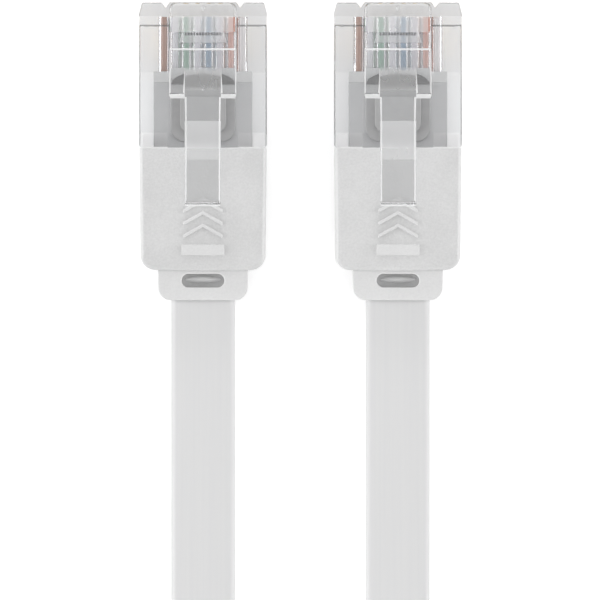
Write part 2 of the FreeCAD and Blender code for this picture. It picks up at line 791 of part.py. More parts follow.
def hank_tie():
    """The strap round the waist, with its tail lying over the top."""
    xs = [run_x(k) + (WAIST_DRAW if run_x(k) < 0 else -WAIST_DRAW) for k in range(LOOP_RUNS)]
    margin = CABLE_THICKNESS / 2 + TIE_GAP
    left, right = min(xs) - margin, max(xs) + margin
    top = HIGH_Z + CABLE_WIDTH / 2 + TIE_FIT + TIE_THICKNESS
    y = HANK_NEAR - HANK_LENGTH / 2 - TIE_WIDTH / 2
    outer = tie_block(left, right, top, y, 0)
    inner = tie_block(left, right, top, y, TIE_THICKNESS)
    tail_start = Vector((left + right - TIE_TAIL) / 2, y, top)
    tail = Part.makeBox(TIE_TAIL, TIE_WIDTH, TIE_THICKNESS, tail_start)
    return outer.cut(inner).fuse(tail).removeSplitter()


def tie_block(left, right, top, y, inset):
    """A block with round long edges at the hank's waist, an inset inside the strap's outside."""
    grow = TIE_THICKNESS - inset
    size = (right - left + 2 * grow, TIE_WIDTH, top - 2 * inset)
    block = Part.makeBox(*size, Vector(left - grow, y, inset))
    edges = [e for e in block.Edges if e.BoundBox.YLength > TIE_WIDTH / 2]
    return block.makeFillet(TIE_CORNER + grow, edges)


def save(name, shape):
    """Writes one sub-part and says what it holds."""
    shape.exportStep(f"parts/{name}.step")
    print(f"{name}: {len(shape.Solids)} solid, {shape.Volume:.2f} mm3, valid {shape.isValid()}")


def plug_end(letter, x):
    """Writes every piece of one end, at its place across the pair."""
    across = Vector(x, 0, 0)
    cores = [core(i) for i in range(WIRE_COUNT)]
    pieces = {
        "plug_body": plug_body(),
        "latch": latch(),
        "load_bar": load_bar(),
        "inner_mould": inner_mould(),
        "boot": boot(),
        "copper_cores": Part.makeCompound(cores),
    }
    for name, shape in pieces.items():
        save(f"{name}_{letter}", shape.translated(across))
    for i in range(WIRE_COUNT):
        save(f"wire_{letter}{i + 1}", insulation(i).translated(across))
        save(f"contact_{letter}{i + 1}", contact(i).translated(across))


def main():
    os.makedirs("parts", exist_ok=True)
    plug_end("a", -PLUG_SPACING / 2)
    plug_end("b", PLUG_SPACING / 2)
    lead_a, length_a = lead(LEAD_A, 1)
    lead_b, length_b = lead(LEAD_B, -1)
    loops, centres, length = hank()
    print(f"least gap between loops: {least_gap(centres):.2f} mm")
    print(f"cable: {length_a + length + length_b:.1f} mm in all")
    save("cable_lead_a", lead_a)
    save("cable_lead_b", lead_b)
    save("cable_hank", loops)
    save("hank_tie", hank_tie())


main()
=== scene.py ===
"""An ethernet patch cable: two clear plugs with sprung latches, soft boots and a flat cable."""

# %% [markdown]
# ## The frame that everything is fitted to
# The CAD model gives every rigid piece its real size and place. It is loaded first, and nothing in it is
# moved: each new piece either covers a CAD piece or gives it a finish.

# %% Load the frame
import math

import bmesh
import bpy
import numpy as np
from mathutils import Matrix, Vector


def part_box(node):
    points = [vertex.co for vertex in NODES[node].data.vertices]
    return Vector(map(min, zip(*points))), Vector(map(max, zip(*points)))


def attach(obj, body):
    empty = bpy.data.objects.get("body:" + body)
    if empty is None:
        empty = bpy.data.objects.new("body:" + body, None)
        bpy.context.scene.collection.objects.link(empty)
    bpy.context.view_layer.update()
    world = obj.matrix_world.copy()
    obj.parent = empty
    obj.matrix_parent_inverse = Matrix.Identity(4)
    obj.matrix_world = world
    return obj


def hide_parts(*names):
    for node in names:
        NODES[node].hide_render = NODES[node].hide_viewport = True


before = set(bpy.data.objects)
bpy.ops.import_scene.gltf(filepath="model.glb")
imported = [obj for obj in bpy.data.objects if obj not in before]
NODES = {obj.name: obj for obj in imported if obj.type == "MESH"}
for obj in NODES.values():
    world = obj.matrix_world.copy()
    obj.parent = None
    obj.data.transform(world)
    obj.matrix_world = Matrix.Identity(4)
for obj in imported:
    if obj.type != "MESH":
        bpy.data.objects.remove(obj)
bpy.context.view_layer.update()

MM = 0.001
ENDS = ("a", "b")
PLUG_X = {"a": -8.9, "b": 8.9}
NOSE_Y = 13.6

# %% [markdown]
# ## The camera
# The photograph looks straight down on the two plugs, and shows no perspective: the walls of the
# plugs are seen exactly from above. A very long lens from far away gives that, while it is still
# a real camera that other views can move.

# %% Set up the camera
FIELD = 54.74 * MM
LENS = 1000.0
SENSOR = 36.0
PLUG_TOP = 6.6 * MM
VIEW_CENTRE = (-0.04 * MM, -13.57 * MM)


def in_scene(name, data):
    """A new object that holds this data, at the origin."""
    obj = bpy.data.objects.new(name, data)
    bpy.context.scene.collection.objects.link(obj)
    return obj


camera_data = bpy.data.cameras.new("camera")
camera_data.lens = LENS
camera_data.sensor_width = SENSOR
camera = in_scene("camera", camera_data)
camera.location = (*VIEW_CENTRE, PLUG_TOP + FIELD * LENS / SENSOR)
bpy.context.scene.camera = camera
bpy.context.scene.view_settings.view_transform = "Standard"
print("camera height in m:", round(camera.location.z, 4))

# %% [markdown]
# ## Making meshes from whole arrays
# Most new pieces are a closed outline carried along a path. Every ring of points is worked out
# at once as one array, rings by points by three, and the faces are worked out from the ring and
# point numbers in the same way. The distance along the path and round the outline is kept as a
# UV map in millimetres, so that a pattern can follow the surface.


# %% Make a mesh from rings of points
def travelled(path):
    """The distance from the first point of a line to each point: the sum of the steps so far."""
    steps = np.linalg.norm(np.diff(path, axis=0), axis=1)
    return np.concatenate([[0], np.cumsum(steps)])


def ring_mesh(name, rings, smooth=True):
    """A closed tube through rings of points: face (i, j) joins points j and j+1 of rings i and i+1.

    Its ends are capped. The UV map holds the length along the rings' middles and round the first.
    """
    count, around = rings.shape[:2]
    here = np.arange(around)
    after = (here + 1) % around
    start = np.arange(count - 1)[:, None] * around
    quads = np.stack([start + here, start + after, start + around + after, start + around + here], -1)
    quads = quads.reshape(-1, 4)
    caps = [here[::-1].tolist(), ((count - 1) * around + here).tolist()]
    mesh = bpy.data.meshes.new(name)
    mesh.from_pydata(rings.reshape(-1, 3).tolist(), [], quads.tolist() + caps)
    along = travelled(rings.mean(1)) / MM
    round_it = travelled(np.vstack([rings[0], rings[0][:1]])) / MM
    row = np.repeat(np.arange(count - 1), around)
    column = np.tile(here, count - 1)
    u = np.stack([along[row], along[row], along[row + 1], along[row + 1]], -1)
    v = np.stack([round_it[column], round_it[column + 1], round_it[column + 1], round_it[column]], -1)
    uv = np.zeros((quads.size + 2 * around, 2), np.float32)
    uv[: quads.size] = np.stack([u, v], -1).reshape(-1, 2)
    mesh.uv_layers.new(name="along").data.foreach_set("uv", uv.ravel())
    mesh.polygons.foreach_set("use_smooth", np.full(len(mesh.polygons), smooth))
    mesh.update()
    return in_scene(name, mesh)


def carried(path, wide, thick, profile):
    """Rings of a flat outline carried along a path: ring = point + wide times x + thick times y."""
    return path[:, None] + wide[:, None] * profile[None, :, :1] + thick[:, None] * profile[None, :, 1:]


def fit(piece, body, slot, *nodes):
    """Lets a piece ride on a body and stand for these CAD nodes. The slot is not used."""
    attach(piece, body)
    if nodes:
        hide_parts(*nodes)
    return piece


# %% [markdown]
# ## Nodes for the finishes
# Every finish is a Principled shader driven by a few noises on Object coordinates, in metres:
# a scale of 4000 is a grain of a quarter of a millimetre. These helpers keep each finish short.


# %% Start a finish and add noise to it
def finish(name, colour, roughness, **constants):
    """A new material whose Principled shader has this colour and roughness, and any set constants."""
    material = bpy.data.materials.new(name)
    material.use_nodes = True
    shader = material.node_tree.nodes["Principled BSDF"]
    shader.inputs["Base Color"].default_value = (*colour, 1)
    shader.inputs["Roughness"].default_value = roughness
    for socket, value in constants.items():
        shader.inputs[socket.replace("_", " ")].default_value = value
    return material


def add(material, kind, inputs=None, **settings):
    """Adds one node to a material, sets it up and links or sets its inputs."""
    tree = material.node_tree
    node = tree.nodes.new("ShaderNode" + kind)
    for key, value in settings.items():
        setattr(node, key, value)
    for key, value in (inputs or {}).items():
        if isinstance(value, bpy.types.NodeSocket):
            tree.links.new(value, node.inputs[key])
        else:
            node.inputs[key].default_value = value
    return node


def noise(material, scale, detail=3.0, stretch=(1, 1, 1), on="Object"):
    """Noise on Object or UV coordinates, stretched by scaling the coordinates per axis."""
    where = add(material, "TexCoord").outputs[on]
    placed = add(material, "Mapping", {"Vector": where, "Scale": stretch}).outputs["Vector"]
    return add(material, "TexNoise", {"Vector": placed, "Scale": scale, "Detail": detail}).outputs["Fac"]


def between(material, factor, low, high):
    """A number that goes from low to high as the factor goes from 0.3 to 0.7."""
    limits = {"Value": factor, "From Min": 0.3, "From Max": 0.7, "To Min": low, "To Max": high}
    return add(material, "MapRange", limits).outputs["Result"]


def tinted(material, factor, first, second):
    """A colour mixed between two by a factor."""
    mix = add(material, "Mix", data_type="RGBA")
    material.node_tree.links.new(factor, mix.inputs[0])
    mix.inputs[6].default_value = (*first, 1)
    mix.inputs[7].default_value = (*second, 1)
    return mix.outputs[2]


def drive(material, **sockets):
    """Links the Principled shader's named sockets."""
    shader = material.node_tree.nodes["Principled BSDF"]
    for socket, source in sockets.items():
        material.node_tree.links.new(source, shader.inputs[socket.replace("_", " ")])
    return material


def surfaced(material, shader):
    """Gives the material this shader for its surface."""
    output = material.node_tree.nodes["Material Output"]
    material.node_tree.links.new(shader, output.inputs["Surface"])
    return material


def bumped(material, height, strength, distance):
    """Bump from a height, as deep as distance in metres."""
    values = {"Height": height, "Strength": strength, "Distance": distance}
    normal = add(material, "Bump", values).outputs["Normal"]
    return drive(material, Normal=normal)


# %% [markdown]
# ## The stage
# The photograph has a white ground and even light. The edges of the clear plugs shine on their
# left, right and front, while their tops stay grey, so the light comes from low soft lamps round
# the object and little of it from overhead: four wide suns stand low, one at each side. The world
# is a white tent that darkens towards its top, with a darker band at the horizon that draws the
# thin dark outlines of clear edges. The floor looks white to the camera, and also through the
# clear plastic, but it lights the object only as pale paper does, and it keeps the object's soft
# shadow. It lies a hair below the plugs, so that light finds two surfaces there and not one.

# %% Make the world, the suns and the floor
BAND = (0.12, 0.3, 0.3, 1.0)
TENT = (0.0, 1.0, 1.0, 0.46)
SUNS = {
    "left_sun": (-72, 0, 16, 0.36),
    "right_sun": (72, 0, 16, 0.3),
    "nose_sun": (0, 75, 14, 0.22),
    "tail_sun": (0, -75, 14, 0.18),
}
FLOOR_GLOW = 0.55
FLOOR_Z = -0.04 * MM
FLOOR_REACH = 3

world = bpy.data.worlds.new("studio")
bpy.context.scene.world = world
world.use_nodes = True
towards = add(world, "TexCoord").outputs["Generated"]
upright = add(world, "SeparateXYZ", {0: towards}).outputs["Z"]


def tent_part(start, end, low, high):
    """A brightness that goes from low to high as the direction's rise goes from start to end."""
    limits = {"Value": upright, "From Min": start, "From Max": end, "To Min": low, "To Max": high}
    return add(world, "MapRange", limits).outputs["Result"]


both = {0: tent_part(*TENT), 1: tent_part(*BAND)}
strength = add(world, "Math", both, operation="MULTIPLY").outputs[0]
background = world.node_tree.nodes["Background"].inputs
background["Color"].default_value = (1, 1, 1, 1)
world.node_tree.links.new(strength, background["Strength"])

for name, (tilt_x, tilt_y, width, energy) in SUNS.items():
    sun_data = bpy.data.lights.new(name, "SUN")
    sun_data.energy = energy * math.pi
    sun_data.angle = math.radians(2 * width)
    sun = in_scene(name, sun_data)
    x, y = math.sin(math.radians(tilt_x)), math.sin(math.radians(tilt_y))
    aim = Vector((x, y, math.sqrt(1 - x**2 - y**2)))
    sun.rotation_euler = aim.to_track_quat("Z", "Y").to_euler()


def seen_directly(material):
    """1 for rays from the camera and for rays seen in gloss or through clear pieces."""
    rays = add(material, "LightPath").outputs
    total = rays["Is Camera Ray"]
    for ray in ("Is Glossy Ray", "Is Transmission Ray"):
        total = add(material, "Math", {0: total, 1: rays[ray]}, operation="MAXIMUM").outputs[0]
    return total


floor_mesh = bpy.data.meshes.new("floor")
corners = [(x * FLOOR_REACH, y * FLOOR_REACH, FLOOR_Z) for x, y in ((-1, -1), (1, -1), (1, 1), (-1, 1))]
floor_mesh.from_pydata(corners, [], [(0, 1, 2, 3)])
floor = in_scene("floor", floor_mesh)
paper = finish("floor_paper", (0.8, 0.8, 0.8), 0.9, Specular_IOR_Level=0.1)
lit = paper.node_tree.nodes["Principled BSDF"].outputs[0]
glow = add(paper, "Emission", {"Color": (1, 1, 1, 1), "Strength": FLOOR_GLOW}).outputs[0]
brighter = add(paper, "AddShader", {0: lit, 1: glow}).outputs[0]
either = add(paper, "MixShader", {0: seen_directly(paper), 1: lit, 2: brighter}).outputs[0]
floor.data.materials.append(surfaced(paper, either))

# %% [markdown]
# ## The cable's route
# A flat patch cable leaves each boot straight and flat, sinks to the table, turns on its edge and joins
# a hank. The hank is six runs with round folds, in two layers, drawn in at the waist by a strap, as such
# a cable is sold and stored. The route is one smooth spline. The leads' points are listed, and the
# hank's points come from its arcs: a control point stands outside its arc, at the radius over the cosine
# of half the step.

# %% Set out the points of the route
LEAD_A = [
    (-8.9, -5.0, 3.2),
    (-8.9, -20.0, 3.2),
    (-8.9, -34.0, 1.1),
    (-8.9, -46.0, 0.8),
    (-9.9, -57.0, 2.2),
    (-14.0, -68.0, 3.4),
    (-18.9, -78.0, 3.7),
]
LEAD_B = [
    (8.9, -5.0, 3.2),
    (8.9, -20.0, 3.2),
    (8.9, -34.0, 1.1),
    (8.9, -46.0, 0.8),
    (10.1, -56.0, 3.0),
    (15.0, -66.0, 7.2),
    (20.2, -76.0, 9.7),
]
RUNS = 6
LOOP_HALF_WIDTH = 19.7
LOOP_PITCH = 2.8
WAIST_DRAW = 14.0
HANK_NEAR = -91.0
HANK_LENGTH = 75.1
LOW_Z = 3.575
HIGH_Z = 9.575
CLIMB_RUN = 2
FOLD_STEPS = 8
RUN_STEPS = 3


def smooth(t):
    """Rises from 0 to 1 with level ends: three t squared less two t cubed."""
    t = np.clip(t, 0, 1)
    return t * t * (3 - 2 * t)


def run_x(k):
    """How far run k of the hank lies from the middle: even runs on the left, odd on the right."""
    return (LOOP_HALF_WIDTH - LOOP_PITCH * (1 - abs(k - CLIMB_RUN) / 2)) * (-1) ** (k + 1)


def run_points(k):
    """Run k, drawn in to the waist by an arc, an arc back of twice the turn and an arc out."""
    half = HANK_LENGTH / 2
    radius = (half**2 + WAIST_DRAW**2) / (4 * WAIST_DRAW)
    turn = math.asin(half / (2 * radius))
    step = turn / RUN_STEPS
    reach = radius / math.cos(step / 2)
    into = step * (np.arange(RUN_STEPS) + 0.5)
    over = turn - step * (np.arange(2 * RUN_STEPS) + 0.5)
    away = into[::-1]
    waist = WAIST_DRAW - radius + reach * np.cos(over)
    inward = np.concatenate([radius - reach * np.cos(into), waist, radius - reach * np.cos(away)])
    along = [reach * np.sin(into), half - reach * np.sin(over), HANK_LENGTH - reach * np.sin(away)]
    along = np.concatenate(along)
    x = run_x(k) * (1 - inward / abs(run_x(k)))
    y = HANK_NEAR - along if k % 2 == 0 else HANK_NEAR - HANK_LENGTH + along
    rise = smooth(along / HANK_LENGTH) if k == CLIMB_RUN else float(k > CLIMB_RUN)
    z = LOW_Z + (HIGH_Z - LOW_Z) * rise + 0 * x
    return np.stack([x, y, z], -1)


def fold_points(k):
    """The half circle after run k: round the far end after an even run, else round the near end."""
    middle = (run_x(k) + run_x(k + 1)) / 2
    step = math.pi / FOLD_STEPS
    reach = abs(run_x(k) - run_x(k + 1)) / 2 / math.cos(step / 2)
    angle = step * (np.arange(FOLD_STEPS) + 0.5) + (math.pi if k % 2 == 0 else 0)
    y = reach * np.sin(angle) + (HANK_NEAR - HANK_LENGTH if k % 2 == 0 else HANK_NEAR)
    z = HIGH_Z if k >= CLIMB_RUN else LOW_Z
    return np.stack([middle + reach * np.cos(angle), y, z + 0 * y], -1)


def cable_points():
    """Every control point from one boot through the hank to the other boot, in millimetres."""
    parts = [np.array(LEAD_A)]
    for k in range(RUNS):
        parts.append(run_points(k))
        if k < RUNS - 1:
            parts.append(fold_points(k))
    parts.append(np.array(LEAD_B)[::-1])
    return np.vstack(parts)


route = cable_points()
print("route points:", len(route))

# %% [markdown]
# ## Reading the smooth line
# The control points go into one NURBS spline of order 3, and its points are read back from a
# mesh of the bare curve. At each of them the strip has a direction, a wide way and a thin way.
# It lies flat where it leaves the boots and turns a quarter round to stand on its edge before
# the hank, so both leads turn by the same smooth amount with their distance from the plugs.

# %% Make the spline and the strip's frames
SPLINE_STEPS = 10
TWIST_START = 44.0
TWIST_LENGTH = 40.0


def spline_line(points_mm):
    """Even steps along a NURBS spline with these control points, in metres."""
    curve = bpy.data.curves.new("route", "CURVE")
    curve.dimensions = "3D"
    spline = curve.splines.new("NURBS")
    spline.points.add(len(points_mm) - 1)
    spline.points.foreach_set("co", np.c_[points_mm * MM, np.ones(len(points_mm))].ravel())
    spline.order_u = 3
    spline.use_endpoint_u = True
    spline.resolution_u = SPLINE_STEPS
    carrier = bpy.data.objects.new("route", curve)
    mesh = bpy.data.meshes.new_from_object(carrier)
    line = np.zeros(len(mesh.vertices) * 3)
    mesh.vertices.foreach_get("co", line)
    bpy.data.meshes.remove(mesh)
    bpy.data.objects.remove(carrier)
    bpy.data.curves.remove(curve)
    return line.reshape(-1, 3)


def unit(vectors):
    """Each vector over its length."""
    return vectors / np.linalg.norm(vectors, axis=-1, keepdims=True)


line = spline_line(route)
direction = unit(np.gradient(line, axis=0))
level = unit(np.cross(direction, (0, 0, 1)))
upward = np.cross(level, direction)
beyond = np.flatnonzero(line[:, 1] < HANK_NEAR * MM)
place = np.arange(len(line))
in_hank = (place >= beyond[0]) & (place <= beyond[-1])
turned = smooth((-line[:, 1] / MM - TWIST_START) / TWIST_LENGTH)
turned = np.where(in_hank, 1, turned)[:, None] * math.pi / 2
wide_way = level * np.cos(turned) + upward * np.sin(turned)
thin_way = np.cross(direction, wide_way)

# %% [markdown]
# ## The flat cable
# The jacket is pressed flat over eight wires side by side: a strip four times as wide as it is
# thick, with round edges that catch the light as two paler lines. Its outline is a row of
# points round a rounded bar, carried along the line.

# %% Carry the jacket's outline along the line
CABLE_WIDTH = 5.85
CABLE_THICKNESS = 1.45
CABLE_EDGE = 0.62
EDGE_POINTS = 6


def rounded_bar(width, height, radius, points):
    """The outline of a bar with round corners, its four quarter circles in turn."""
    quarter = np.linspace(0, math.pi / 2, points)
    corners = []
    for k, (sx, sy) in enumerate([(1, 1), (-1, 1), (-1, -1), (1, -1)]):
        angle = quarter + k * math.pi / 2
        x = sx * (width / 2 - radius) + radius * np.cos(angle)
        y = sy * (height / 2 - radius) + radius * np.sin(angle)
        corners.append(np.stack([x, y], -1))
    return np.vstack(corners)


jacket = rounded_bar(CABLE_WIDTH, CABLE_THICKNESS, CABLE_EDGE, EDGE_POINTS) * MM
cable = ring_mesh("cable", carried(line, wide_way, thin_way, jacket))
fit(cable, "root", "cable_jacket", "cable_lead_a", "cable_hank", "cable_lead_b")
print("cable faces:", len(cable.data.polygons))

# %% [markdown]
# ## The strap
# A hook-and-loop strap holds the hank at its waist. It is one ribbon that goes once round and
# ends on top of itself, so it is a thin flat outline carried along a path in one plane: round
# the hank, and then up on to its own top for the length of the tail. It is woven, so its faces
# rise and fall like a chessboard, by a product of two sines along and across the ribbon.

# %% Wrap the strap round the waist
STRAP_THICKNESS = 0.5
STRAP_WIDTH = 7.0
STRAP_CORNER = 0.8
CORNER_POINTS = 7
TAIL_POINTS = 22
OVERLAP = 0.1
FACE_SHARE = 0.49
STRAP_LIFT = 0.6
TAIL = 9.0
TAIL_RAMP = 1.6
THREAD_PITCH = 0.5
THREAD_RISE = 0.03
STEPS_PER_THREAD = 3
tie_low, tie_high = (np.array(corner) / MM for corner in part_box("hank_tie"))


def strap_path():
    """The ribbon's middle line in millimetres: once round a rounded box, then one layer up."""
    half = STRAP_LIFT / 2
    left, right = tie_low[0] + half, tie_high[0] - half
    bottom, top = half, tie_high[2] - 3 * half
    middle = (left + right) / 2
    box = rounded_bar(right - left, top - bottom, STRAP_CORNER, CORNER_POINTS)
    round_it = np.roll(box + (middle, (bottom + top) / 2), -CORNER_POINTS, axis=0)
    over = np.linspace(0, TAIL + TAIL_RAMP, TAIL_POINTS)
    x = middle + TAIL / 2 + TAIL_RAMP - over
    tail = np.stack([x, top + STRAP_LIFT * smooth(over / TAIL_RAMP)], -1)
    start = [[middle + TAIL / 2 - OVERLAP, top]]
    return np.vstack([start, round_it, tail])


def even_steps(path, step):
    """Points at even steps along a line of points."""
    along = travelled(path)
    places = np.arange(0, along[-1], step)
    return np.stack([np.interp(places, along, path[:, k]) for k in range(path.shape[1])], -1)


def ribbon_outline():
    """Across one face of the ribbon, round its edge, back across the other and round again."""
    half = STRAP_WIDTH / 2 - STRAP_THICKNESS / 2
    across = np.linspace(half, -half, int(STEPS_PER_THREAD * 2 * half / THREAD_PITCH))
    turn = np.linspace(0, math.pi, 5)[1:-1]
    face = np.stack([across, 0 * across + STRAP_THICKNESS / 2], -1)
    bend = np.stack([-half - STRAP_THICKNESS / 2 * np.sin(turn), STRAP_THICKNESS / 2 * np.cos(turn)], -1)
    return np.vstack([face, bend, -face, -bend])


strap_xz = even_steps(strap_path(), THREAD_PITCH / STEPS_PER_THREAD)
strap_line = np.stack([strap_xz[:, 0], 0 * strap_xz[:, 0], strap_xz[:, 1]], -1)
strap_line[:, 1] = (tie_low[1] + tie_high[1]) / 2
ahead = unit(np.gradient(strap_line, axis=0))
across = np.tile([0.0, 1.0, 0.0], (len(strap_line), 1))
outward = np.cross(ahead, across)
ribbon = ribbon_outline()
threads = np.arange(len(strap_line)) / STEPS_PER_THREAD
weave = np.sin(math.pi * (threads + 0.5))[:, None] * np.sin(math.pi * ribbon[:, 0] / THREAD_PITCH)
on_a_face = np.abs(ribbon[:, 1]) > STRAP_THICKNESS * FACE_SHARE
weave = weave * np.where(on_a_face, np.sign(ribbon[:, 1]), 0)
rings = carried(strap_line, across, outward, ribbon)
rings = rings + THREAD_RISE * weave[:, :, None] * outward[:, None]
strap = fit(ring_mesh("strap", rings * MM), "root", "strap", "hank_tie")
print("strap rings:", len(strap_line))

# %% [markdown]
# ## Rounding the edges of moulded pieces
# No moulded edge is perfectly sharp, and on clear plastic the small rounds are most of what one
# sees: each is a thin bright or dark line. The CAD pieces have sharp edges, so each is copied,
# its loose triangles are joined and its flat faces are made whole again. Then the edges that a
# rule picks by their place and length are bevelled. Flat faces stay flat shaded, so that one
# looks through them without bending, and only the rounds and the curved walls are smooth.

# %% Copy a CAD piece with round edges
SHARP = math.radians(25)
CURVED = math.radians(1.5)
SAME_POINT = 1e-7
SAME_PLANE = math.radians(1)
WIDEST_CURVED = 0.8
NEAR = 0.01


def edge_facts(work, centre_x):
    """Each edge's middle in mm from the plug's own middle, length in mm and bend, over 0 outwards."""
    rows = [
        (*((e.verts[0].co + e.verts[1].co) / 2), e.calc_length(), e.calc_face_angle_signed(0.0))
        for e in work.edges
    ]
    facts = np.array(rows, float)
    return facts[:, :3] / MM - (centre_x, 0, 0), facts[:, 3] / MM, facts[:, 4]


def cut(work, at, normal, clear=False, picked=lambda face: True):
    """Cuts the picked faces along a plane, marks the cut as seams, and may clear what lies beyond."""
    for face in work.faces:
        face.tag = picked(face)
    parts = [f for f in work.faces if f.tag]
    for kind in (work.edges, work.verts):
        parts += [item for item in kind if any(f.tag for f in item.link_faces)]
    made = bmesh.ops.bisect_plane(
        work, geom=parts, dist=SAME_POINT, plane_co=at, plane_no=normal, clear_outer=clear
    )
    for item in made["geom_cut"]:
        if isinstance(item, bmesh.types.BMEdge):
            item.seam = True


def make_whole(work, centre_x, seams):
    """Joins the triangles in one plane, after cuts along upright planes at these places in mm.

    A face with a hole would be left joined by slanting edges, and the bevel goes wrong there. A
    seam through the hole's middle leaves two plain faces instead.
    """
    for place in seams:
        cut(work, ((centre_x + place) * MM, 0, 0), (1, 0, 0))
    bmesh.ops.dissolve_limit(
        work, angle_limit=SAME_PLANE, verts=work.verts, edges=work.edges, delimit={"SEAM"}
    )


def is_narrow(face, widest):
    """True if the face's area over its longest edge is under this width in mm."""
    return face.calc_area() < widest * MM * max(e.calc_length() for e in face.edges)


def shade_by_shape(work):
    """Makes faces smooth where two narrow ones meet at a small angle, and marks all other edges.

    A curved wall is made of narrow faces, and a wide one is flat, whatever it meets.
    """
    narrow = {face: is_narrow(face, WIDEST_CURVED) for face in work.faces}
    for face in work.faces:
        face.smooth = False
    for edge in work.edges:
        bend = edge.calc_face_angle(0.0)
        edge.smooth = bend < SHARP and all(narrow[f] for f in edge.link_faces)
        if edge.smooth and bend > CURVED:
            for face in edge.link_faces:
                face.smooth = True


def rounded_piece(node, name, body, slot, rules, seams=(0,), reshape=None, looks=(), paint=None):
    """The copy as a finished piece. Each rule is a width in mm, a step count and a test of edges.

    reshape changes the joined copy before its edges are rounded. looks are the names of its
    finishes, and paint names each face's, from the faces' middles in mm and their directions.
    """
    centre_x = PLUG_X[node.rsplit("_", 1)[1][0]]
    mesh = NODES[node].data.copy()
    mesh.name = name
    mesh.attributes.remove(mesh.attributes["custom_normal"])
    work = bmesh.new()
    work.from_mesh(mesh)
    bmesh.ops.remove_doubles(work, verts=work.verts, dist=SAME_POINT)
    if reshape is not None:
        reshape(work, centre_x)
    make_whole(work, centre_x, seams)
    shade_by_shape(work)
    counts = []
    for width, steps, test in rules:
        middle, length, bend = edge_facts(work, centre_x)
        chosen = np.flatnonzero((bend > SHARP) & test(middle, length))
        work.edges.ensure_lookup_table()
        made = bmesh.ops.bevel(
            work, geom=[work.edges[k] for k in chosen], offset=width * MM, offset_type="OFFSET",
            profile_type="SUPERELLIPSE", segments=steps, profile=0.5, affect="EDGES",
            clamp_overlap=False, material=-1,
        )
        for face in made["faces"]:
            face.smooth = is_narrow(face, width)
        counts.append(len(chosen))
    work.to_mesh(mesh)
    work.free()
    if paint is not None:
        places = np.array([p.center for p in mesh.polygons]) / MM - (centre_x, 0, 0)
        facing = np.array([p.normal for p in mesh.polygons])
        numbers = [looks.index(look) for look in paint(places, facing)]
        mesh.polygons.foreach_set("material_index", numbers)
    print(name, "edges rounded:", counts, "faces:", len(mesh.polygons))
    return fit(in_scene(name, mesh), body, slot, node)


def from_nose(places):
    """Setbacks behind the nose, distances to the side and heights in mm."""
    return NOSE_Y - places[:, 1], np.abs(places[:, 0]), places[:, 2]


def within(values, low, high):
    """True where a value is over low and under high."""
    return (values > low) & (values < high)


def near(values, wanted):
    """True where a value is the wanted one to within a hair."""
    return np.abs(values - wanted) < NEAR


# %% [markdown]
# ## The clear bodies
# The body's outside edges, the channel for the latch and the window are rounded, and the block at the
# nose that the latch springs from has a wide soft rim. The wire ways and contact slots stay as cut: they
# are crowded, and a steel core pin leaves them crisp. On the real plug the latch is one piece with that
# block. The CAD pieces meet there in a round pivot, so the pivot's seat is pressed flat into the block's
# rear wall. Where the plastic looks white, smoky, dark or bright, the faces get a finish of their own:
# frost painted white as painted highlight, haze, and copies of the clear plastic painted darker as
# painted shade or lighter as painted light, with cuts across the decks where one ends.

# %% Round the plug bodies
WAYS_HALF_WIDTH = 4.45
WAYS_TOP = 4.2
HINGE_SETBACK = 2.7
HINGE_Z = 5.42
SEAT_RADIUS = 0.39
ROOT_TOP = 6.1
ROOT_HALF_WIDTH = 3.05
ROOT_RIM = 5.75
LUG_FRONT = 11.9
LUG_MIDDLE = 5.04
LUG_OUTSIDE = 5.6
LUG_SIDES = (4.58, 5.5)
LUG_TOP = 5.3
CAVITY_LOW = 0.8
POCKET_WALL = 3.7
POCKET_END = 3.85
POCKET_HALF_WIDTH = 2.25
POCKET_FLOOR = 4.6
POCKET_TOP = 4.95
NOSE_SHADE_END = 1.25
LINE_START = 2.04
LINE_END = 2.45
DECK_SHADE_END = 6.4
DECK_LOW = 6.4
DECK_REAR = 13.1
DECK_SIDE = 5.68
DECK_FRONT = (2, 2.3)
OVER_NOSE = 5.68
OVER_DECK = 6.55
NOSE_END = 2.6
NOSE_EDGE_LOW = 5.6
NOSE_EDGE = 0.12
NOSE_SIDES = 1.2
ROOT_EDGE = 0.32
BESIDE_ROOT = 3.15
LUG_SHELF = 5.2
LEVEL = 0.99
TILTED = (0.15, 0.97)
STEEP = (0.15, 0.75)
TOP_CUTS = {
    NOSE_SHADE_END: OVER_NOSE, LINE_START: OVER_NOSE, DECK_SHADE_END: OVER_DECK, LUG_FRONT: OVER_DECK
}
SHORTEST = 0.25
PIP_SETBACK = 0.55
PIP_RADIUS = 0.2
PIP_HEIGHT = 0.07
PIP_LIFT = 0.004
PIP_RINGS = 7
PIP_SIDES = 24
PIP_TOP = 0.1
BODY_LOOKS = (
    "clear_plastic", "white_frost", "rim_painted_shade", "nose_painted_shade", "haze", "deck_painted_shade", "painted_dark_line",
    "clear_painted_light",
)


def press_seat_flat(work, centre_x):
    """Moves the seat's points back to the wall: those nearer the pivot's axis than its radius.

    Its top faces are then cut across where their finish changes.
    """
    work.verts.ensure_lookup_table()
    places = np.array([v.co for v in work.verts]) / MM
    ahead = places[:, 1] - (NOSE_Y - HINGE_SETBACK)
    reach = np.hypot(ahead, places[:, 2] - HINGE_Z)
    beside = np.abs(places[:, 0] - centre_x) < ROOT_HALF_WIDTH + NEAR
    for k in np.flatnonzero((ahead > 0) & (reach < SEAT_RADIUS) & beside):
        work.verts[k].co.y = (NOSE_Y - HINGE_SETBACK) * MM
    for setback, low in TOP_CUTS.items():
        at = (0, (NOSE_Y - setback) * MM, 0)
        cut(work, at, (0, 1, 0), picked=lambda face: face.calc_center_median().z > low * MM)


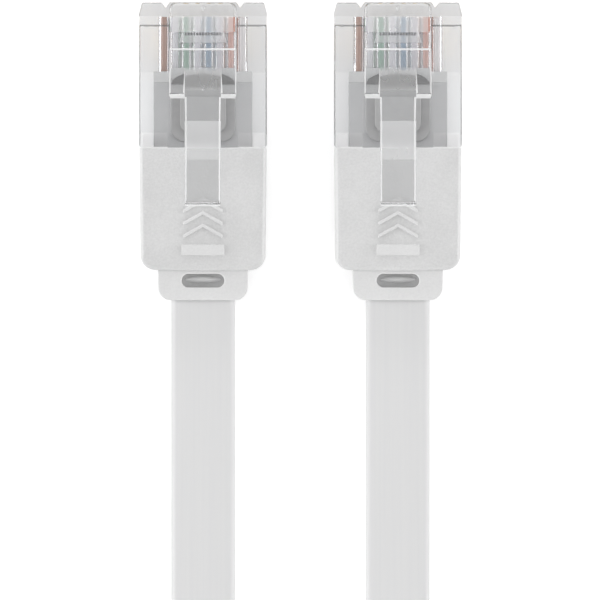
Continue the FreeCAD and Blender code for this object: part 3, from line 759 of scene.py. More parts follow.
def root_rim(middle, length):
    """True for the top edges of the block at the nose: its front, its sides and their corners."""
    setback, wide, high = from_nose(middle)
    return (wide < ROOT_HALF_WIDTH + NEAR) & (setback < HINGE_SETBACK - NEAR) & near(high, ROOT_TOP)


def deck_front(middle, length):
    """True for the top edges of the decks' front walls."""
    setback, wide, high = from_nose(middle)
    front = within(setback, *DECK_FRONT) & (wide > BESIDE_ROOT) & (high > OVER_DECK)
    return front & (length > SHORTEST)


def outside_the_ways(middle, length):
    """True for edges that aren't short, but for the ways, the lugs' holes and the block's rim."""
    setback, wide, high = from_nose(middle)
    ways = (wide < WAYS_HALF_WIDTH) & (high < WAYS_TOP)
    joint = (setback > LUG_FRONT) & (wide < LUG_OUTSIDE) & within(high, CAVITY_LOW, LUG_TOP)
    rim = (wide < ROOT_HALF_WIDTH + NEAR) & (middle[:, 1] > NOSE_Y - HINGE_SETBACK) & (high > ROOT_RIM)
    return ~ways & ~joint & ~rim & (length > SHORTEST)


def body_finishes(places, facing):
    """The name of each face's finish, by its place and its rise. Later lines win over earlier."""
    setback, wide, high = from_nose(places)
    rise = facing[:, 2]
    looks = np.full(len(places), "clear_plastic", object)
    pocket = within(setback, HINGE_SETBACK + NEAR, POCKET_END)
    walls = pocket & (wide < POCKET_HALF_WIDTH) & within(high, POCKET_FLOOR + NEAR, POCKET_TOP - NEAR)
    # Painted highlight: the pocket's side walls, the lug shelves and the deck's rear rim are painted
    # white.
    looks[walls] = "white_frost"
    # Painted shade: the pocket's end wall is painted dark.
    looks[walls & (setback > POCKET_WALL)] = "painted_dark_line"
    looks[(setback > LUG_FRONT) & within(wide, *LUG_SIDES) & near(high, LUG_SHELF)] = "white_frost"
    looks[(high > DECK_LOW) & (setback > DECK_REAR)] = "white_frost"
    tilted = within(rise, *TILTED)
    deck = tilted & (high > DECK_LOW) & (setback < DECK_REAR)
    # Painted shade: the deck's side rims are painted darker, for the dark outlines of clear edges.
    looks[deck & (wide > DECK_SIDE)] = "rim_painted_shade"
    # Painted shade: the deck's front rim is painted dark.
    looks[deck & (wide < DECK_SIDE) & (setback < LINE_END)] = "painted_dark_line"
    nose_edge = tilted & within(high, NOSE_EDGE_LOW, ROOT_RIM)
    beside = wide > BESIDE_ROOT
    # Painted shade: the nose's front and side rims are painted darker.
    looks[nose_edge & ((setback < NOSE_EDGE) | beside & (setback < NOSE_SIDES))] = "nose_painted_shade"
    root_edge = ~beside & (setback < ROOT_EDGE) & (high > ROOT_RIM)
    # Painted shade: the root block's front edge is painted darker.
    looks[root_edge & within(rise, *STEEP)] = "rim_painted_shade"
    level = rise > LEVEL
    nose = level & (setback < NOSE_END) & within(high, OVER_NOSE, ROOT_TOP + NEAR)
    # Painted shade: the nose's top is painted darker.
    looks[nose] = "nose_painted_shade"
    # Painted shade: the nose beside the root block is painted darker.
    looks[nose & (setback > NOSE_SHADE_END)] = "deck_painted_shade"
    looks[nose & (setback > NOSE_SHADE_END) & ~beside] = "haze"
    # Painted shade: the crease on the nose's deck at the foot of the decks' front wall is painted dark.
    looks[nose & (setback > LINE_START) & beside] = "painted_dark_line"
    looks[level & pocket & near(high, POCKET_FLOOR)] = "haze"
    top = level & (high > OVER_DECK)
    # Painted shade: the front of the decks is painted darker.
    looks[top & (setback < DECK_SHADE_END)] = "deck_painted_shade"
    # Painted light: the rear strip of the deck is painted lighter.
    looks[top & within(setback, LUG_FRONT, DECK_REAR)] = "clear_painted_light"
    return looks


def gate_mark(end):
    """Rings of a low round pip left by the mould: radius r cos t and height h sin t."""
    t = np.linspace(0, math.pi / 2 - PIP_TOP, PIP_RINGS)[:, None]
    around = np.linspace(0, 2 * math.pi, PIP_SIDES, endpoint=False)
    x = PLUG_X[end] + PIP_RADIUS * np.cos(t) * np.cos(around)
    y = NOSE_Y - PIP_SETBACK + PIP_RADIUS * np.cos(t) * np.sin(around)
    z = ROOT_TOP + PIP_LIFT + PIP_HEIGHT * np.sin(t) + 0 * around
    return ring_mesh("gate_mark_" + end, np.stack([x, y, z], -1) * MM)


pips = {end: fit(gate_mark(end), "root", "clear_plastic") for end in ENDS}
bodies = {}
for end in ENDS:
    bodies[end] = rounded_piece(
        "plug_body_" + end, "clear_body_" + end, "root", "clear_plastic",
        [(0.28, 5, root_rim), (0.12, 4, deck_front), (0.07, 3, outside_the_ways)],
        (-LUG_MIDDLE, 0, LUG_MIDDLE), press_seat_flat, BODY_LOOKS, body_finishes,
    )

# %% [markdown]
# ## The latches
# The latch copy is cut square where it meets the block, and leans back a little below, so that its foot
# stays clear of the wall when the tab is pressed. The faces that catch in the socket, the step across
# the ramp and the tab's long lower edges are frosted and painted white, as painted highlight. Under the
# tab come a frosted stretch, a hazy one and one painted darker as painted shade, and its end has a
# painted dark line of shade over a painted white highlight. Cuts through the mesh give these their
# borders.

# %% Round the latches
LATCH_SLOPE = math.radians(19)
FOOT_TOP = (2.72, 5.75)
FOOT_LOW = (2.83, 5.10)
FROST_START = 10.97
HAZE_START = 13.5
TAB_SHADE_START = 14.5
# Under the tab's end the shade is painted: a darker copy of the clear plastic.
UNDER_LOOKS = {FROST_START: "pale_frost", HAZE_START: "tab_haze", TAB_SHADE_START: "tab_painted_shade"}
LAST_POINTS = 16.26
UPPER_POINTS = 0.55
TAB_HALF_WIDTH = 1.6
LAST_FACES = 18
END_EDGE_CUT = 0.21
END_LINE = 0.2
GROOVE_START = 5.5
GROOVE_END = 8.05
STEP = (4.24, 4.56)
ARM_TOP = 0.28
RAMP_END = 6.4
CATCH_END = 8.7
CATCH = (8, 9)
CATCH_FACING = 0.97
SQUARE_ON = 0.9
SLANTED = (0.3, 0.9)
SIDE_SLANT = 0.4
SIDEWAYS = (0.1, 0.99)
ARM_SIDE = 1.5
END_SIDE = 1.58
END_TOP = 0.4
LONG = 1.3
NUB_EDGE = 0.15
ALONG_ARM = np.array([0, -math.cos(LATCH_SLOPE), math.sin(LATCH_SLOPE)])
UNDER_ARM = np.array([0, -math.sin(LATCH_SLOPE), -math.cos(LATCH_SLOPE)])
LATCH_LOOKS = ("latch_clear", "white_frost", "pale_frost", "tab_painted_shade", "painted_dark_line", "tab_haze")


def on_the_arm(places):
    """Distances along the arm from the hinge and heights over its middle plane, in mm."""
    from_hinge = places - (0, NOSE_Y - HINGE_SETBACK, HINGE_Z)
    return from_hinge @ ALONG_ARM, -from_hinge @ UNDER_ARM


def cut_latch(work, centre_x):
    """Cuts the latch off square ahead of its foot, and splits its faces where finishes change.

    The slanting edge at the tab's end is drawn in to a narrow one.
    """
    for vert in work.verts:
        along, above = on_the_arm(np.array(vert.co) / MM)
        if along > LAST_POINTS and above > 0:
            towards = -UNDER_ARM if above < UPPER_POINTS else ALONG_ARM
            vert.co += Vector(towards * END_EDGE_CUT * MM)
    (s0, z0), (s1, z1) = FOOT_TOP, FOOT_LOW
    ahead = Vector((0, z0 - z1, s0 - s1)).normalized()
    cut(work, (0, (NOSE_Y - s0) * MM, z0 * MM), ahead, clear=True)
    bmesh.ops.holes_fill(work, edges=[e for e in work.edges if e.is_boundary])
    for setback in UNDER_LOOKS:
        cut(work, (0, (NOSE_Y - setback) * MM, 0), (0, 1, 0))
    groove_end = (0, (NOSE_Y - GROOVE_END) * MM, 0)
    cut(work, groove_end, (0, 1, 0), picked=lambda face: face.normal.z > SQUARE_ON)
    upper = Vector((0, NOSE_Y - HINGE_SETBACK, HINGE_Z)) - Vector(UNDER_ARM) * END_LINE
    cut(work, upper * MM, -UNDER_ARM, picked=lambda face: face.normal.dot(ALONG_ARM) > SQUARE_ON)


def latch_finishes(places, facing):
    """The name of each face's finish, by its setback, its height over the arm and its direction."""
    setback, wide, _ = from_nose(places)
    above = on_the_arm(places)[1]
    under, along, sideways = facing @ UNDER_ARM, facing @ ALONG_ARM, np.abs(facing[:, 0])
    looks = np.full(len(places), "latch_clear", object)
    for start, look in UNDER_LOOKS.items():
        looks[(under > SQUARE_ON) & (setback > start)] = look
    # Painted highlight: the catch face, the step, the tab's lower edges, the ramp's top edges and the
    # end face are frosted and painted white.
    looks[(along > CATCH_FACING) & within(setback, *CATCH)] = "white_frost"
    looks[within(setback, *STEP) & (facing[:, 2] > SLANTED[0])] = "white_frost"
    low_edges = within(under, *SLANTED) & (sideways > SIDE_SLANT)
    looks[low_edges & (setback > CATCH[1])] = "white_frost"
    ramp_edges = within(sideways, *SIDEWAYS) & (above > ARM_TOP) & (wide > ARM_SIDE)
    looks[ramp_edges & (setback < CATCH_END)] = "white_frost"
    end = setback > LAST_FACES
    looks[end & (along > SQUARE_ON)] = "white_frost"
    # Painted shade: a dark line along the upper part of the tab's end face.
    looks[end & (along > SQUARE_ON) & (above > END_LINE) & (wide < END_SIDE)] = "painted_dark_line"
    last_edge = within(along, SIDEWAYS[0], SQUARE_ON) & (above > END_TOP) & (wide < TAB_HALF_WIDTH)
    # Painted shade: the slanted edge at the tab's end.
    looks[end & last_edge] = "tab_painted_shade"
    groove = within(setback, GROOVE_START, GROOVE_END) & (wide < TAB_HALF_WIDTH)
    looks[groove & (facing[:, 2] > SQUARE_ON)] = "tab_haze"
    return looks


def long_top_edges(middle, length):
    """True for the long edges of the arm's top, outside and along the groove."""
    along, above = on_the_arm(middle)
    outer = np.abs(middle[:, 0]) > TAB_HALF_WIDTH
    return (above > ARM_TOP) & (along < RAMP_END) & (length > LONG) & outer


def but_the_nub(middle, length):
    """True for all edges but the short ones round the nub."""
    return length > NUB_EDGE


latches = {}
for end in ENDS:
    latches[end] = rounded_piece(
        "latch_" + end, "clear_latch_" + end, "latch_" + end, "clear_plastic",
        [(0.1, 4, long_top_edges), (0.06, 3, but_the_nub)],
        reshape=cut_latch, looks=LATCH_LOOKS, paint=latch_finishes,
    )

# %% [markdown]
# ## The opaque mouldings
# The load bar, the grey inner mould and the boot are rounded all over. What lies inside the clear
# body is drawn in from its walls by a hair, because light can't tell two faces in one place
# apart. The contacts are stamped from sheet, gilt, with only a breath of roundness.

# %% Round the opaque mouldings and the contacts
WIRES = 8
WIRE_PITCH = 1.02
WIRE_X = WIRE_PITCH * (np.arange(WIRES) - (WIRES - 1) / 2)
PLUG_LENGTH = 13.26
LUG_INSIDE = 4.45
BOOT_RIM = 0.16
SIDE_STRIP = 5.45
STRIP_LOW = 6.1
NECK_START = 24.7
MARK_TOP = 6.72
SLOT_END = 26.3
SLOT_HALF_WIDTH = 2.1
SLOT_RIM = 5.38
BORE_Y, BORE_WIDE, BORE_LOW, BORE_HIGH = -12.5, 3.3, 2.2, 4.2
HOLES_LOW, HOLES_HIGH = 1, 4.3
MOULD_STEP = 4.5
WINDOW_REAR = 12.8
CLEARANCE = 0.02
SAME_WALL = 0.001
WALLS_BESIDE = {4.5: -1, 2.95: -1, 4.6: 1, 5.48: -1}
WALLS_ABOVE = {0.9: 1, 4.4: -1, 1.4: 1, 5.2: -1}
MOULD_LOOKS = ("mould_grey", "window_grey")
BOOT_LOOKS = ("boot_rubber", "lug_white", "neck_rubber", "slot_shade", "mark_rubber")


def every_edge(middle, length):
    """True for all edges."""
    return length > 0


def stand_clear(work, centre_x):
    """Draws what lies inside the clear body in from its walls, so that no two faces coincide."""
    for vert in work.verts:
        x, y, z = vert.co / MM
        x = x - centre_x
        if y > NOSE_Y - PLUG_LENGTH + SAME_WALL:
            for wall, way in WALLS_BESIDE.items():
                if abs(abs(x) - wall) < SAME_WALL:
                    vert.co.x += math.copysign(way * CLEARANCE * MM, x)
            for wall, way in WALLS_ABOVE.items():
                if abs(z - wall) < SAME_WALL:
                    vert.co.z += way * CLEARANCE * MM


def but_the_holes(middle, length):
    """True for the load block's outer edges."""
    _, wide, high = from_nose(middle)
    return (wide > WAYS_HALF_WIDTH) | (high < HOLES_LOW) | (high > HOLES_HIGH)


def but_the_bore(middle, length):
    """True for the boot's edges, but not round the hole that the cable leaves by."""
    _, wide, high = from_nose(middle)
    return ~((middle[:, 1] < BORE_Y) & (wide < BORE_WIDE) & within(high, BORE_LOW, BORE_HIGH))


def mould_finishes(places, facing):
    """Painted shade: a darker copy of the mould's grey on what stands up into the window."""
    setback, _, high = from_nose(places)
    return np.where((high > MOULD_STEP) & (setback < WINDOW_REAR), "window_grey", "mould_grey")


def boot_finishes(places, facing):
    """The name of each face's finish: the lugs, rim, side strips, neck and marks painted lighter as
    painted light, the slot's shade and its rim's painted highlight.
    """
    setback, wide, high = from_nose(places)
    rise = facing[:, 2]
    looks = np.full(len(places), "boot_rubber", object)
    # Painted light: the lugs are painted whiter than the boot.
    looks[(setback < PLUG_LENGTH - CLEARANCE) & (wide > LUG_INSIDE)] = "lug_white"
    # Painted light: the front rim and the side strips are painted lighter.
    looks[(setback < PLUG_LENGTH + BOOT_RIM) & (high > DECK_LOW)] = "mark_rubber"
    looks[(wide > SIDE_STRIP) & (high > STRIP_LOW) & within(rise, 0.2, 0.98)] = "mark_rubber"
    # Painted light: the neck is painted lighter than the boot.
    looks[setback > NECK_START] = "neck_rubber"
    # Painted light: the tops of the marks are painted lighter.
    looks[high > MARK_TOP] = "mark_rubber"
    slot = within(setback, NECK_START, SLOT_END) & (wide < SLOT_HALF_WIDTH) & (high > 4)
    looks[slot & (high < SLOT_RIM)] = "slot_shade"
    # Painted highlight: the slot's rim is painted white.
    looks[slot & (high > SLOT_RIM) & (rise < 0.97)] = "lug_white"
    return looks


bars, moulds, boots, contacts = {}, {}, {}, []
for end in ENDS:
    bars[end] = rounded_piece(
        "load_bar_" + end, "load_block_" + end, "root", "pale_plastic", [(0.04, 2, but_the_holes)],
        WIRE_X, stand_clear,
    )
    moulds[end] = rounded_piece(
        "inner_mould_" + end, "grey_mould_" + end, "root", "inner_mould", [(0.08, 3, every_edge)],
        (0,), stand_clear, MOULD_LOOKS, mould_finishes,
    )
    boots[end] = rounded_piece(
        "boot_" + end, "soft_boot_" + end, "root", "boot", [(0.09, 3, but_the_bore)],
        (-LUG_MIDDLE, 0, LUG_MIDDLE), stand_clear, BOOT_LOOKS, boot_finishes,
    )
    for k in range(1, WIRES + 1):
        pressed = [(0.03, 2, every_edge)]
        name = f"{end}{k}"
        blade = rounded_piece("contact_" + name, "blade_" + name, "root", "contact_gold", pressed, ())
        contacts.append(blade)

# %% [markdown]
# ## Grip ridges
# A short row of fine ridges lies on the pocket's floor, just behind the latch's root, and through the
# latch it looks like a row of dark ticks. It is one bar whose top rises and falls by a cosine along it,
# and its crests are painted dark, as painted shade.

# %% Press the ridges
RIDGES = 13
RIDGE_PITCH = 0.262
RIDGE_RISE = 0.1
RIDGE_LOW = 0.02
RIDGE_FRONT = 2.76
RIDGE_BACK = 3.08
RIDGE_FOOT = 4.605


def ridge_row(end):
    """Rings across a bar: a rectangle as high as rise times half of one less the cosine of x."""
    turn = np.linspace(0, 2 * math.pi * RIDGES, 8 * RIDGES + 1)
    x = RIDGE_PITCH * (turn / (2 * math.pi) - RIDGES / 2)
    high = RIDGE_LOW + RIDGE_RISE * (0.5 - 0.5 * np.cos(turn))
    y = NOSE_Y - np.array([RIDGE_FRONT, RIDGE_FRONT, RIDGE_BACK, RIDGE_BACK])
    z = np.stack([0 * x, high, high, 0 * x], -1)
    rings = np.stack([PLUG_X[end] + x[:, None] + 0 * z, y + 0 * z, RIDGE_FOOT + z], -1)
    row = ring_mesh("grip_ridges_" + end, rings * MM, smooth=False)
    # Painted shade: the crests take the dark finish.
    crest = np.repeat(high[:-1] + high[1:] > 2 * RIDGE_LOW + RIDGE_RISE, 4)
    row.data.polygons.foreach_set("material_index", np.append(crest, [0, 0]).astype(np.int32))
    return row


ridges = {end: fit(ridge_row(end), "root", "clear_plastic") for end in ENDS}
print("rows of ridges:", len(ridges), "faces each:", len(ridges["a"].data.polygons))

# %% [markdown]
# ## The tongue of painted shade
# Ahead of the window the channel's floor has a second opening, a half ellipse, and a tongue fills it
# that is painted nearly black: painted shade, for the shade of a deep opening. It is a half ellipse
# carried upwards, with a round upper rim: rings of the same outline that draw in as they rise.

# %% Raise the tongue
DOME_SETBACK = 7.86
DOME_HALF_WIDTH = 2.9
DOME_LENGTH = 1.24
TONGUE_LOW = 4.36
TONGUE_HIGH = 4.85
TONGUE_ROUND = 0.1
TONGUE_FOOT = 0.02
OUTLINE_POINTS = 33
RIM_RINGS = 5


def tongue(end):
    """Rings of a half ellipse: x = a cos t, setback = s - b sin t, drawn in by 1 - cos of the rim."""
    t = np.linspace(0, math.pi, OUTLINE_POINTS)
    rim = np.linspace(0, math.pi / 2, RIM_RINGS)
    inset = np.concatenate([[TONGUE_ROUND, 0], TONGUE_ROUND * (1 - np.cos(rim)), [2 * TONGUE_ROUND]])
    upper = TONGUE_HIGH - TONGUE_ROUND + TONGUE_ROUND * np.sin(rim)
    z = np.concatenate([[TONGUE_LOW, TONGUE_LOW + TONGUE_FOOT], upper, [TONGUE_HIGH]])
    wide = (DOME_HALF_WIDTH - inset)[:, None]
    deep = (DOME_LENGTH - inset)[:, None]
    x = PLUG_X[end] + wide * np.cos(t)
    y = NOSE_Y - DOME_SETBACK + inset[:, None] + (deep - inset[:, None]) * np.sin(t)
    rings = np.stack([x, y, z[:, None] + 0 * x], -1)
    return ring_mesh("mould_tongue_" + end, rings * MM)


tongues = {end: fit(tongue(end), "root", "inner_mould") for end in ENDS}
print("tongues:", len(tongues), "faces each:", len(tongues["a"].data.polygons))

# %% [markdown]
# ## The wires
# Eight insulated wires lie side by side in their ways. The CAD wires are twelve-sided rods, so
# each is replaced by a round tube of whole-array rings: a circle carried along the wire, which
# starts as a small circle and grows in a quarter round to the full one, as a cut end does. The
# tube stops just short of the opaque mould. Its UV map runs along and round the wire.

# %% Draw the wires
WIRE_RADIUS = 0.41
WIRE_HEIGHT = 3.6
WIRE_START = 1.32
WIRE_END = 7.29
WIRE_SIDES = 28
WIRE_RINGS = 12
FIRST_STEP = 0.4
CUT_ROUND = 0.12
CUT_RINGS = 6


def wire_tube(end, k):
    """Rings along one wire: radius r minus c times (1 - cos) of a quarter round at its cut end."""
    quarter = np.linspace(0, math.pi / 2, CUT_RINGS)
    grown = WIRE_RADIUS - CUT_ROUND * (1 - np.sin(quarter))
    radius = np.concatenate([grown, np.full(WIRE_RINGS, WIRE_RADIUS)])
    start = WIRE_START + CUT_ROUND * (1 - np.cos(quarter))
    setback = np.concatenate([start, np.linspace(start[-1] + FIRST_STEP, WIRE_END, WIRE_RINGS)])
    t = np.linspace(0, 2 * math.pi, WIRE_SIDES, endpoint=False)
    x = PLUG_X[end] + WIRE_X[k - 1] + radius[:, None] * np.cos(t)
    z = WIRE_HEIGHT + radius[:, None] * np.sin(t)
    y = NOSE_Y - setback[:, None] + 0 * x
    return ring_mesh(f"coat_{end}{k}", np.stack([x, y, z], -1) * MM)


COLOURS = (
    "brown", "white_brown", "green", "white_blue", "blue", "white_green", "orange", "white_orange",
)
wires = {(end, k): wire_tube(end, k) for end in ENDS for k in range(1, WIRES + 1)}
for (end, k), piece in wires.items():
    fit(piece, "root", "insulation_" + COLOURS[k - 1], f"wire_{end}{k}")
print("wires:", len(wires), "faces each:", len(wires["a", 1].data.polygons))

# %% [markdown]
# ## The rib in the slot
# The slot across the neck lets it bend, and a rib is left across its floor. It is a long thin half
# ellipsoid, painted whiter than the boot as painted light, so that it shows as a paler lens in the
# shadow of the slot.

# %% Lay the ribs in the slots
RIB_HALF_WIDTH = 1.62
RIB_HALF_LENGTH = 0.3
RIB_RISE = 0.42
RIB_SETBACK = 25.3
SLOT_FLOOR = 4.29
RIB_TIP = 0.05
RIB_RINGS = 33
RIB_SIDES = 16


def slot_rib(end):
    """Rings along x = a cos t, each a half circle scaled by sin t to the rib's length and rise."""
    t = np.linspace(RIB_TIP, math.pi - RIB_TIP, RIB_RINGS)
    around = np.linspace(0, 2 * math.pi, RIB_SIDES, endpoint=False)
    x = PLUG_X[end] + RIB_HALF_WIDTH * np.cos(t)[:, None] + 0 * around
    y = NOSE_Y - RIB_SETBACK + RIB_HALF_LENGTH * np.sin(t)[:, None] * np.cos(around)
    z = SLOT_FLOOR + RIB_RISE * np.sin(t)[:, None] * np.sin(around)
    return ring_mesh("neck_rib_" + end, np.stack([x, y, z], -1)[::-1] * MM)


ribs = {end: fit(slot_rib(end), "root", "boot") for end in ENDS}
print("ribs:", len(ribs), "faces each:", len(ribs["a"].data.polygons))

# %% [markdown]
# ## Clear plastic
# The plugs are polycarbonate: bright, a little hazy, and with a slow waviness from the mould's flow,
# which is a very shallow bump here. What lies inside has to be lit through the plastic, and refracted
# light would arrive there as noise, so rays that light a surface pass straight through with a slight
# loss. Each finish of it is a colour, a roughness and the part of the light that passes: frosted and
# painted white as painted highlight on edges that shine, hazy in places, darker copies as painted shade
# and lighter copies as painted light where the plastic's tone changes, and painted dark as painted shade
# in the thin lines that bend the light away.

# %% Mix the clear plastics
BEND = 1.585
WAVINESS = 8e-6
PASSED_ON = (0.97, 0.97, 0.975, 1)
CLEAR_FINISHES = {
    "clear_plastic": ((0.81, 0.815, 0.82), 0.03, 0.93),
    # Painted light: the latch has a lighter copy of the body's clear plastic.
    "latch_clear": ((0.88, 0.885, 0.89), 0.03, 0.91),
    "white_frost": ((0.96, 0.96, 0.96), 0.5, 0.15),
    "pale_frost": ((0.90, 0.90, 0.90), 0.3, 0.45),
    "tab_painted_shade": ((0.65, 0.65, 0.65), 0.12, 0.9),
    "tab_haze": ((0.85, 0.85, 0.85), 0.2, 0.72),
    "haze": ((0.86, 0.86, 0.86), 0.2, 0.55),
    "clear_painted_light": ((0.95, 0.95, 0.95), 0.03, 0.93),
    "rim_painted_shade": ((0.42, 0.425, 0.43), 0.05, 0.93),
    "painted_dark_line": ((0.2, 0.205, 0.21), 0.1, 0.75),
    "nose_painted_shade": ((0.62, 0.62, 0.625), 0.04, 0.93),
    "deck_painted_shade": ((0.73, 0.735, 0.745), 0.03, 0.93),
    "ridge_painted_shade": ((0.07, 0.07, 0.075), 0.2, 0.6),
}


def clear_finish(name, colour, roughness, passing):
    """Clear plastic of this colour and roughness, which lets a part of the light through."""
    material = finish(name, colour, roughness, Transmission_Weight=passing, IOR=BEND)
    flow = noise(material, 400, 2, (1, 0.35, 1))
    drive(material, Roughness=between(material, flow, roughness, roughness * 1.6))
    bumped(material, flow, 1.0, WAVINESS)
    rays = add(material, "LightPath").outputs
    through = add(material, "BsdfTransparent", {"Color": PASSED_ON}).outputs[0]
    passed = material.node_tree.nodes["Principled BSDF"].outputs[0]
    for ray in ("Is Diffuse Ray", "Is Shadow Ray"):
        passed = add(material, "MixShader", {0: rays[ray], 1: passed, 2: through}).outputs[0]
    return surfaced(material, passed)


FINISHES = {name: clear_finish(name, *values) for name, values in CLEAR_FINISHES.items()}
print("clear finishes:", len(FINISHES))

# %% [markdown]
# ## Moulded grey plastics
# The boot has a fine leathery grain, the mould is smooth and a little streaked, and the load block is
# paler. One helper makes them all: clouds and grain between two close colours, and the grain drives
# roughness and bump too. Lighter copies of the boot's rubber are painted light on its neck, lugs, rims,
# side strips and marks, and a darker copy of the mould's grey is painted shade in the window. Where the
# boot's body meets the neck, and where the cable leaves the neck, painted shade lies as a soft dark line
# in the crease, so those two finishes darken there.

# %% Mix the moulded plastics
MOULDED_FINISHES = {
    "boot_rubber": ((0.79,) * 3, (0.71,) * 3, 0.5, 5200, 6e-5),
    "mark_rubber": ((0.84,) * 3, (0.79,) * 3, 0.5, 5200, 4e-5),
    "neck_rubber": ((0.87,) * 3, (0.82,) * 3, 0.5, 5200, 4e-5),
    "mould_grey": ((0.72,) * 3, (0.68,) * 3, 0.45, 1500, 8e-6),
    "window_grey": ((0.48,) * 3, (0.44,) * 3, 0.45, 1500, 8e-6),
    "tongue_grey": ((0.06,) * 3, (0.05,) * 3, 0.45, 1500, 8e-6),
    "pale_plastic": ((0.86, 0.86, 0.85), (0.81, 0.81, 0.80), 0.4, 1500, 8e-6),
    "slot_shade": ((0.74,) * 3, (0.70,) * 3, 0.55, 5200, 3e-5),
    "lug_white": ((0.95,) * 3, (0.91,) * 3, 0.5, 1500, 8e-6),
}
NECK_PAINTED_SHADE = (24.4, 24.65, 0.85)
CABLE_PAINTED_SHADE = (27.15, 27.55, 0.88)


def moulded(name, light, dark, roughness, grain, depth):
    """Opaque plastic, clouded between two colours, with a grain of this scale and depth in metres."""
    material = finish(name, light, roughness)
    clouds = noise(material, 220, 2)
    fine = noise(material, grain, 3)
    rough = between(material, fine, roughness - 0.06, roughness + 0.08)
    both = add(material, "Math", {0: clouds, 1: fine}, operation="ADD").outputs[0]
    mixed = add(material, "MapRange", {"Value": both, "From Min": 0.75, "From Max": 1.25})
    colour = tinted(material, mixed.outputs["Result"], light, dark)
    drive(material, Base_Color=colour, Roughness=rough)
    return bumped(material, fine, 0.7, depth)


def painted_crease_shade(material, start, end, shade):
    """Painted shade: darkens the colour by this factor at the first setback, fading to nothing at the
    second.
    """
    socket = material.node_tree.nodes["Principled BSDF"].inputs["Base Color"]
    place = add(material, "SeparateXYZ", {0: add(material, "TexCoord").outputs["Object"]}).outputs[1]
    low, high = (NOSE_Y - end) * MM, (NOSE_Y - start) * MM
    limits = {"Value": place, "From Min": low, "From Max": high, "To Min": 1, "To Max": shade}
    fade = add(material, "MapRange", limits, interpolation_type="SMOOTHSTEP").outputs["Result"]
    darker = add(material, "Mix", data_type="RGBA", blend_type="MULTIPLY")
    darker.inputs[0].default_value = 1
    material.node_tree.links.new(socket.links[0].from_socket, darker.inputs[6])
    material.node_tree.links.new(fade, darker.inputs[7])
    return drive(material, Base_Color=darker.outputs[2])


for name, values in MOULDED_FINISHES.items():
    FINISHES[name] = moulded(name, *values)
painted_crease_shade(FINISHES["neck_rubber"], *NECK_PAINTED_SHADE)
print("moulded finishes:", len(MOULDED_FINISHES))

# %% [markdown]
# ## The jacket
# Soft vinyl is drawn through a die, so its marks run along the cable: faint streaks of colour
# and gloss, on the UV map that follows the strip, over a very fine bloom.

# %% Mix the jacket's vinyl
vinyl = finish("jacket_vinyl", (0.79, 0.79, 0.79), 0.42)
streaks = noise(vinyl, 1.0, 3, (0.05, 3, 1), on="UV")
bloom = noise(vinyl, 2600, 3)
colour = tinted(vinyl, between(vinyl, streaks, 0, 1), (0.825, 0.825, 0.825), (0.805, 0.805, 0.81))
drive(vinyl, Base_Color=colour, Roughness=between(vinyl, streaks, 0.38, 0.5))
# Painted shade: the jacket darkens where it leaves the neck.
painted_crease_shade(vinyl, *CABLE_PAINTED_SHADE)
both = add(vinyl, "Math", {0: streaks, 1: bloom}, operation="ADD").outputs[0]
FINISHES["jacket_vinyl"] = bumped(vinyl, both, 0.6, 1.2e-5)
print("jacket:", len(vinyl.node_tree.nodes), "nodes")

# %% [markdown]
# ## Metal
# The contacts are gilt over stamped sheet, with rolling marks up the blade, and the wires'
# copper ends are duller. A stretched noise gives the marks, and it drives colour and gloss.

# %% Mix the metals


def rolled(name, bright, dull, roughness):
    """Metal with marks along one way: colour between bright and dull, roughness up to double."""
    material = finish(name, bright, roughness, Metallic=1.0)
    marks = noise(material, 3000, 3, (1, 1, 0.12))
    colour = tinted(material, between(material, marks, 0, 1), bright, dull)
    drive(material, Base_Color=colour, Roughness=between(material, marks, roughness, 2 * roughness))
    return bumped(material, marks, 0.4, 4e-6)


FINISHES["contact_gilt"] = rolled("contact_gilt", (0.86, 0.65, 0.30), (0.76, 0.54, 0.22), 0.2)
FINISHES["copper"] = rolled("copper", (0.86, 0.47, 0.32), (0.62, 0.30, 0.20), 0.28)
print("metals: contact_gilt, copper")

# %% [markdown]
# ## Insulation
# The wires are four plain colours and four whites with a stripe of a colour. Seen through the
# hazy plastic they look pale and greyish. The stripe runs along the wire and drifts slowly
# round it: the sine of the place round the wire plus a little of the place along it is over a
# limit. Both come from the tube's UV map.

# %% Mix the insulation
ROUND_THE_WIRE = 2 * math.pi * WIRE_RADIUS
STRIPE_DRIFT = 0.12
INSULATION = {
    "brown": ((0.58, 0.36, 0.28), (0.48, 0.27, 0.20)),
    "white_brown": ((0.84, 0.82, 0.86), (0.46, 0.27, 0.20)),
    "green": ((0.15, 0.39, 0.25), (0.11, 0.33, 0.20)),
    "white_blue": ((0.84, 0.82, 0.88), (0.22, 0.34, 0.50)),
    "blue": ((0.14, 0.28, 0.44), (0.11, 0.24, 0.38)),
    "white_green": ((0.74, 0.70, 0.76), (0.19, 0.42, 0.30)),
    "orange": ((0.80, 0.34, 0.24), (0.70, 0.28, 0.19)),
    "white_orange": ((0.97, 0.93, 0.92), (0.72, 0.40, 0.28)),
}


def stripe(material):
    """1 on the stripe and 0 beside it: where sin(drift u - 2 pi v / round) is over 0.8."""
    place = add(material, "TexCoord").outputs["UV"]
    split = add(material, "SeparateXYZ", {0: place}).outputs
    turn = add(material, "Math", {0: split[1], 1: -2 * math.pi / ROUND_THE_WIRE}, operation="MULTIPLY")
    angle = {0: split[0], 1: STRIPE_DRIFT, 2: turn.outputs[0]}
    angle = add(material, "Math", angle, operation="MULTIPLY_ADD").outputs[0]
    wave = add(material, "Math", {0: angle}, operation="SINE").outputs[0]
    edge = {"Value": wave, "From Min": 0.76, "From Max": 0.84}
    return add(material, "MapRange", edge).outputs["Result"]


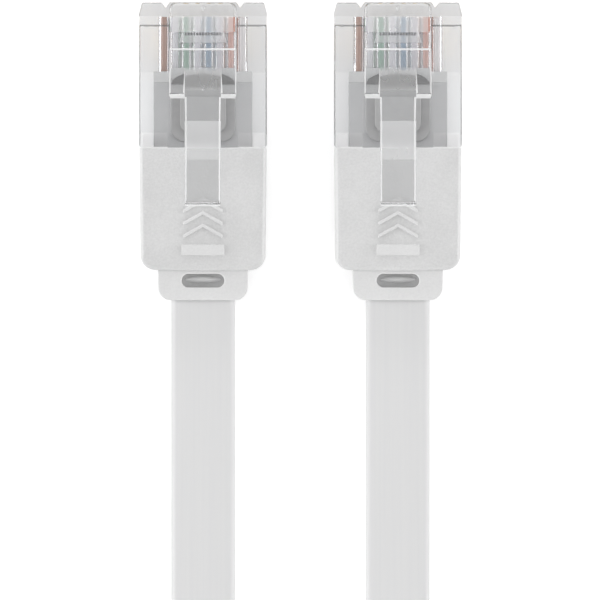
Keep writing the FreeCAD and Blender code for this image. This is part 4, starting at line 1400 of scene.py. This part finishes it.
def coat(name, base, second):
    """Insulation of a base colour with a stripe, or only mottled, in a second."""
    material = finish("insulation_" + name, base, 0.38)
    mottle = noise(material, 1600, 2, (1, 0.3, 1))
    factor = stripe(material) if name.startswith("white") else between(material, mottle, 0, 1)
    colour = tinted(material, factor, base, second)
    drive(material, Base_Color=colour, Roughness=between(material, mottle, 0.32, 0.48))
    return bumped(material, mottle, 0.4, 6e-6)


for name, colours in INSULATION.items():
    FINISHES["insulation_" + name] = coat(name, *colours)
print("insulation:", len(INSULATION), "coats")

# %% [markdown]
# ## Fabric
# The strap's threads are in its mesh. Its finish adds what is finer: fuzz, threads a little
# lighter and darker, and a soft sheen.

# %% Mix the strap's fabric
fabric = finish("strap_fabric", (0.5, 0.5, 0.51), 0.85, Sheen_Weight=0.3, Sheen_Roughness=0.5)
fuzz = noise(fabric, 5200, 4)
shades = noise(fabric, 1.0, 2, (1.1, 4, 1), on="UV")
cloth = tinted(fabric, between(fabric, shades, 0, 1), (0.56, 0.56, 0.57), (0.44, 0.44, 0.45))
drive(fabric, Base_Color=cloth, Roughness=between(fabric, fuzz, 0.78, 0.95))
FINISHES["strap_fabric"] = bumped(fabric, fuzz, 0.8, 4e-5)
print("fabric:", len(fabric.node_tree.nodes), "nodes")

# %% [markdown]
# ## Giving each piece its finish
# A piece holds its finishes in the order of its faces' numbers, which its paint rule gave.

# %% Give the finishes


def give(obj, *names):
    """Puts the named finishes on a piece, in the order of its faces' numbers."""
    kinds = np.zeros(len(obj.data.polygons), np.int32)
    obj.data.polygons.foreach_get("material_index", kinds)
    obj.data.materials.clear()
    for name in names:
        obj.data.materials.append(FINISHES[name])
    obj.data.polygons.foreach_set("material_index", kinds)


give(cable, "jacket_vinyl")
give(strap, "strap_fabric")
for end in ENDS:
    give(bodies[end], *BODY_LOOKS)
    give(latches[end], *LATCH_LOOKS)
    give(bars[end], "pale_plastic")
    give(moulds[end], *MOULD_LOOKS)
    give(tongues[end], "tongue_grey")
    give(boots[end], *BOOT_LOOKS)
    give(ribs[end], "lug_white")
    give(ridges[end], "clear_plastic", "ridge_painted_shade")
    give(pips[end], "haze")
    give(NODES["copper_cores_" + end], "copper")
for blade in contacts:
    give(blade, "contact_gilt")
for (end, k), piece in wires.items():
    give(piece, "insulation_" + COLOURS[k - 1])
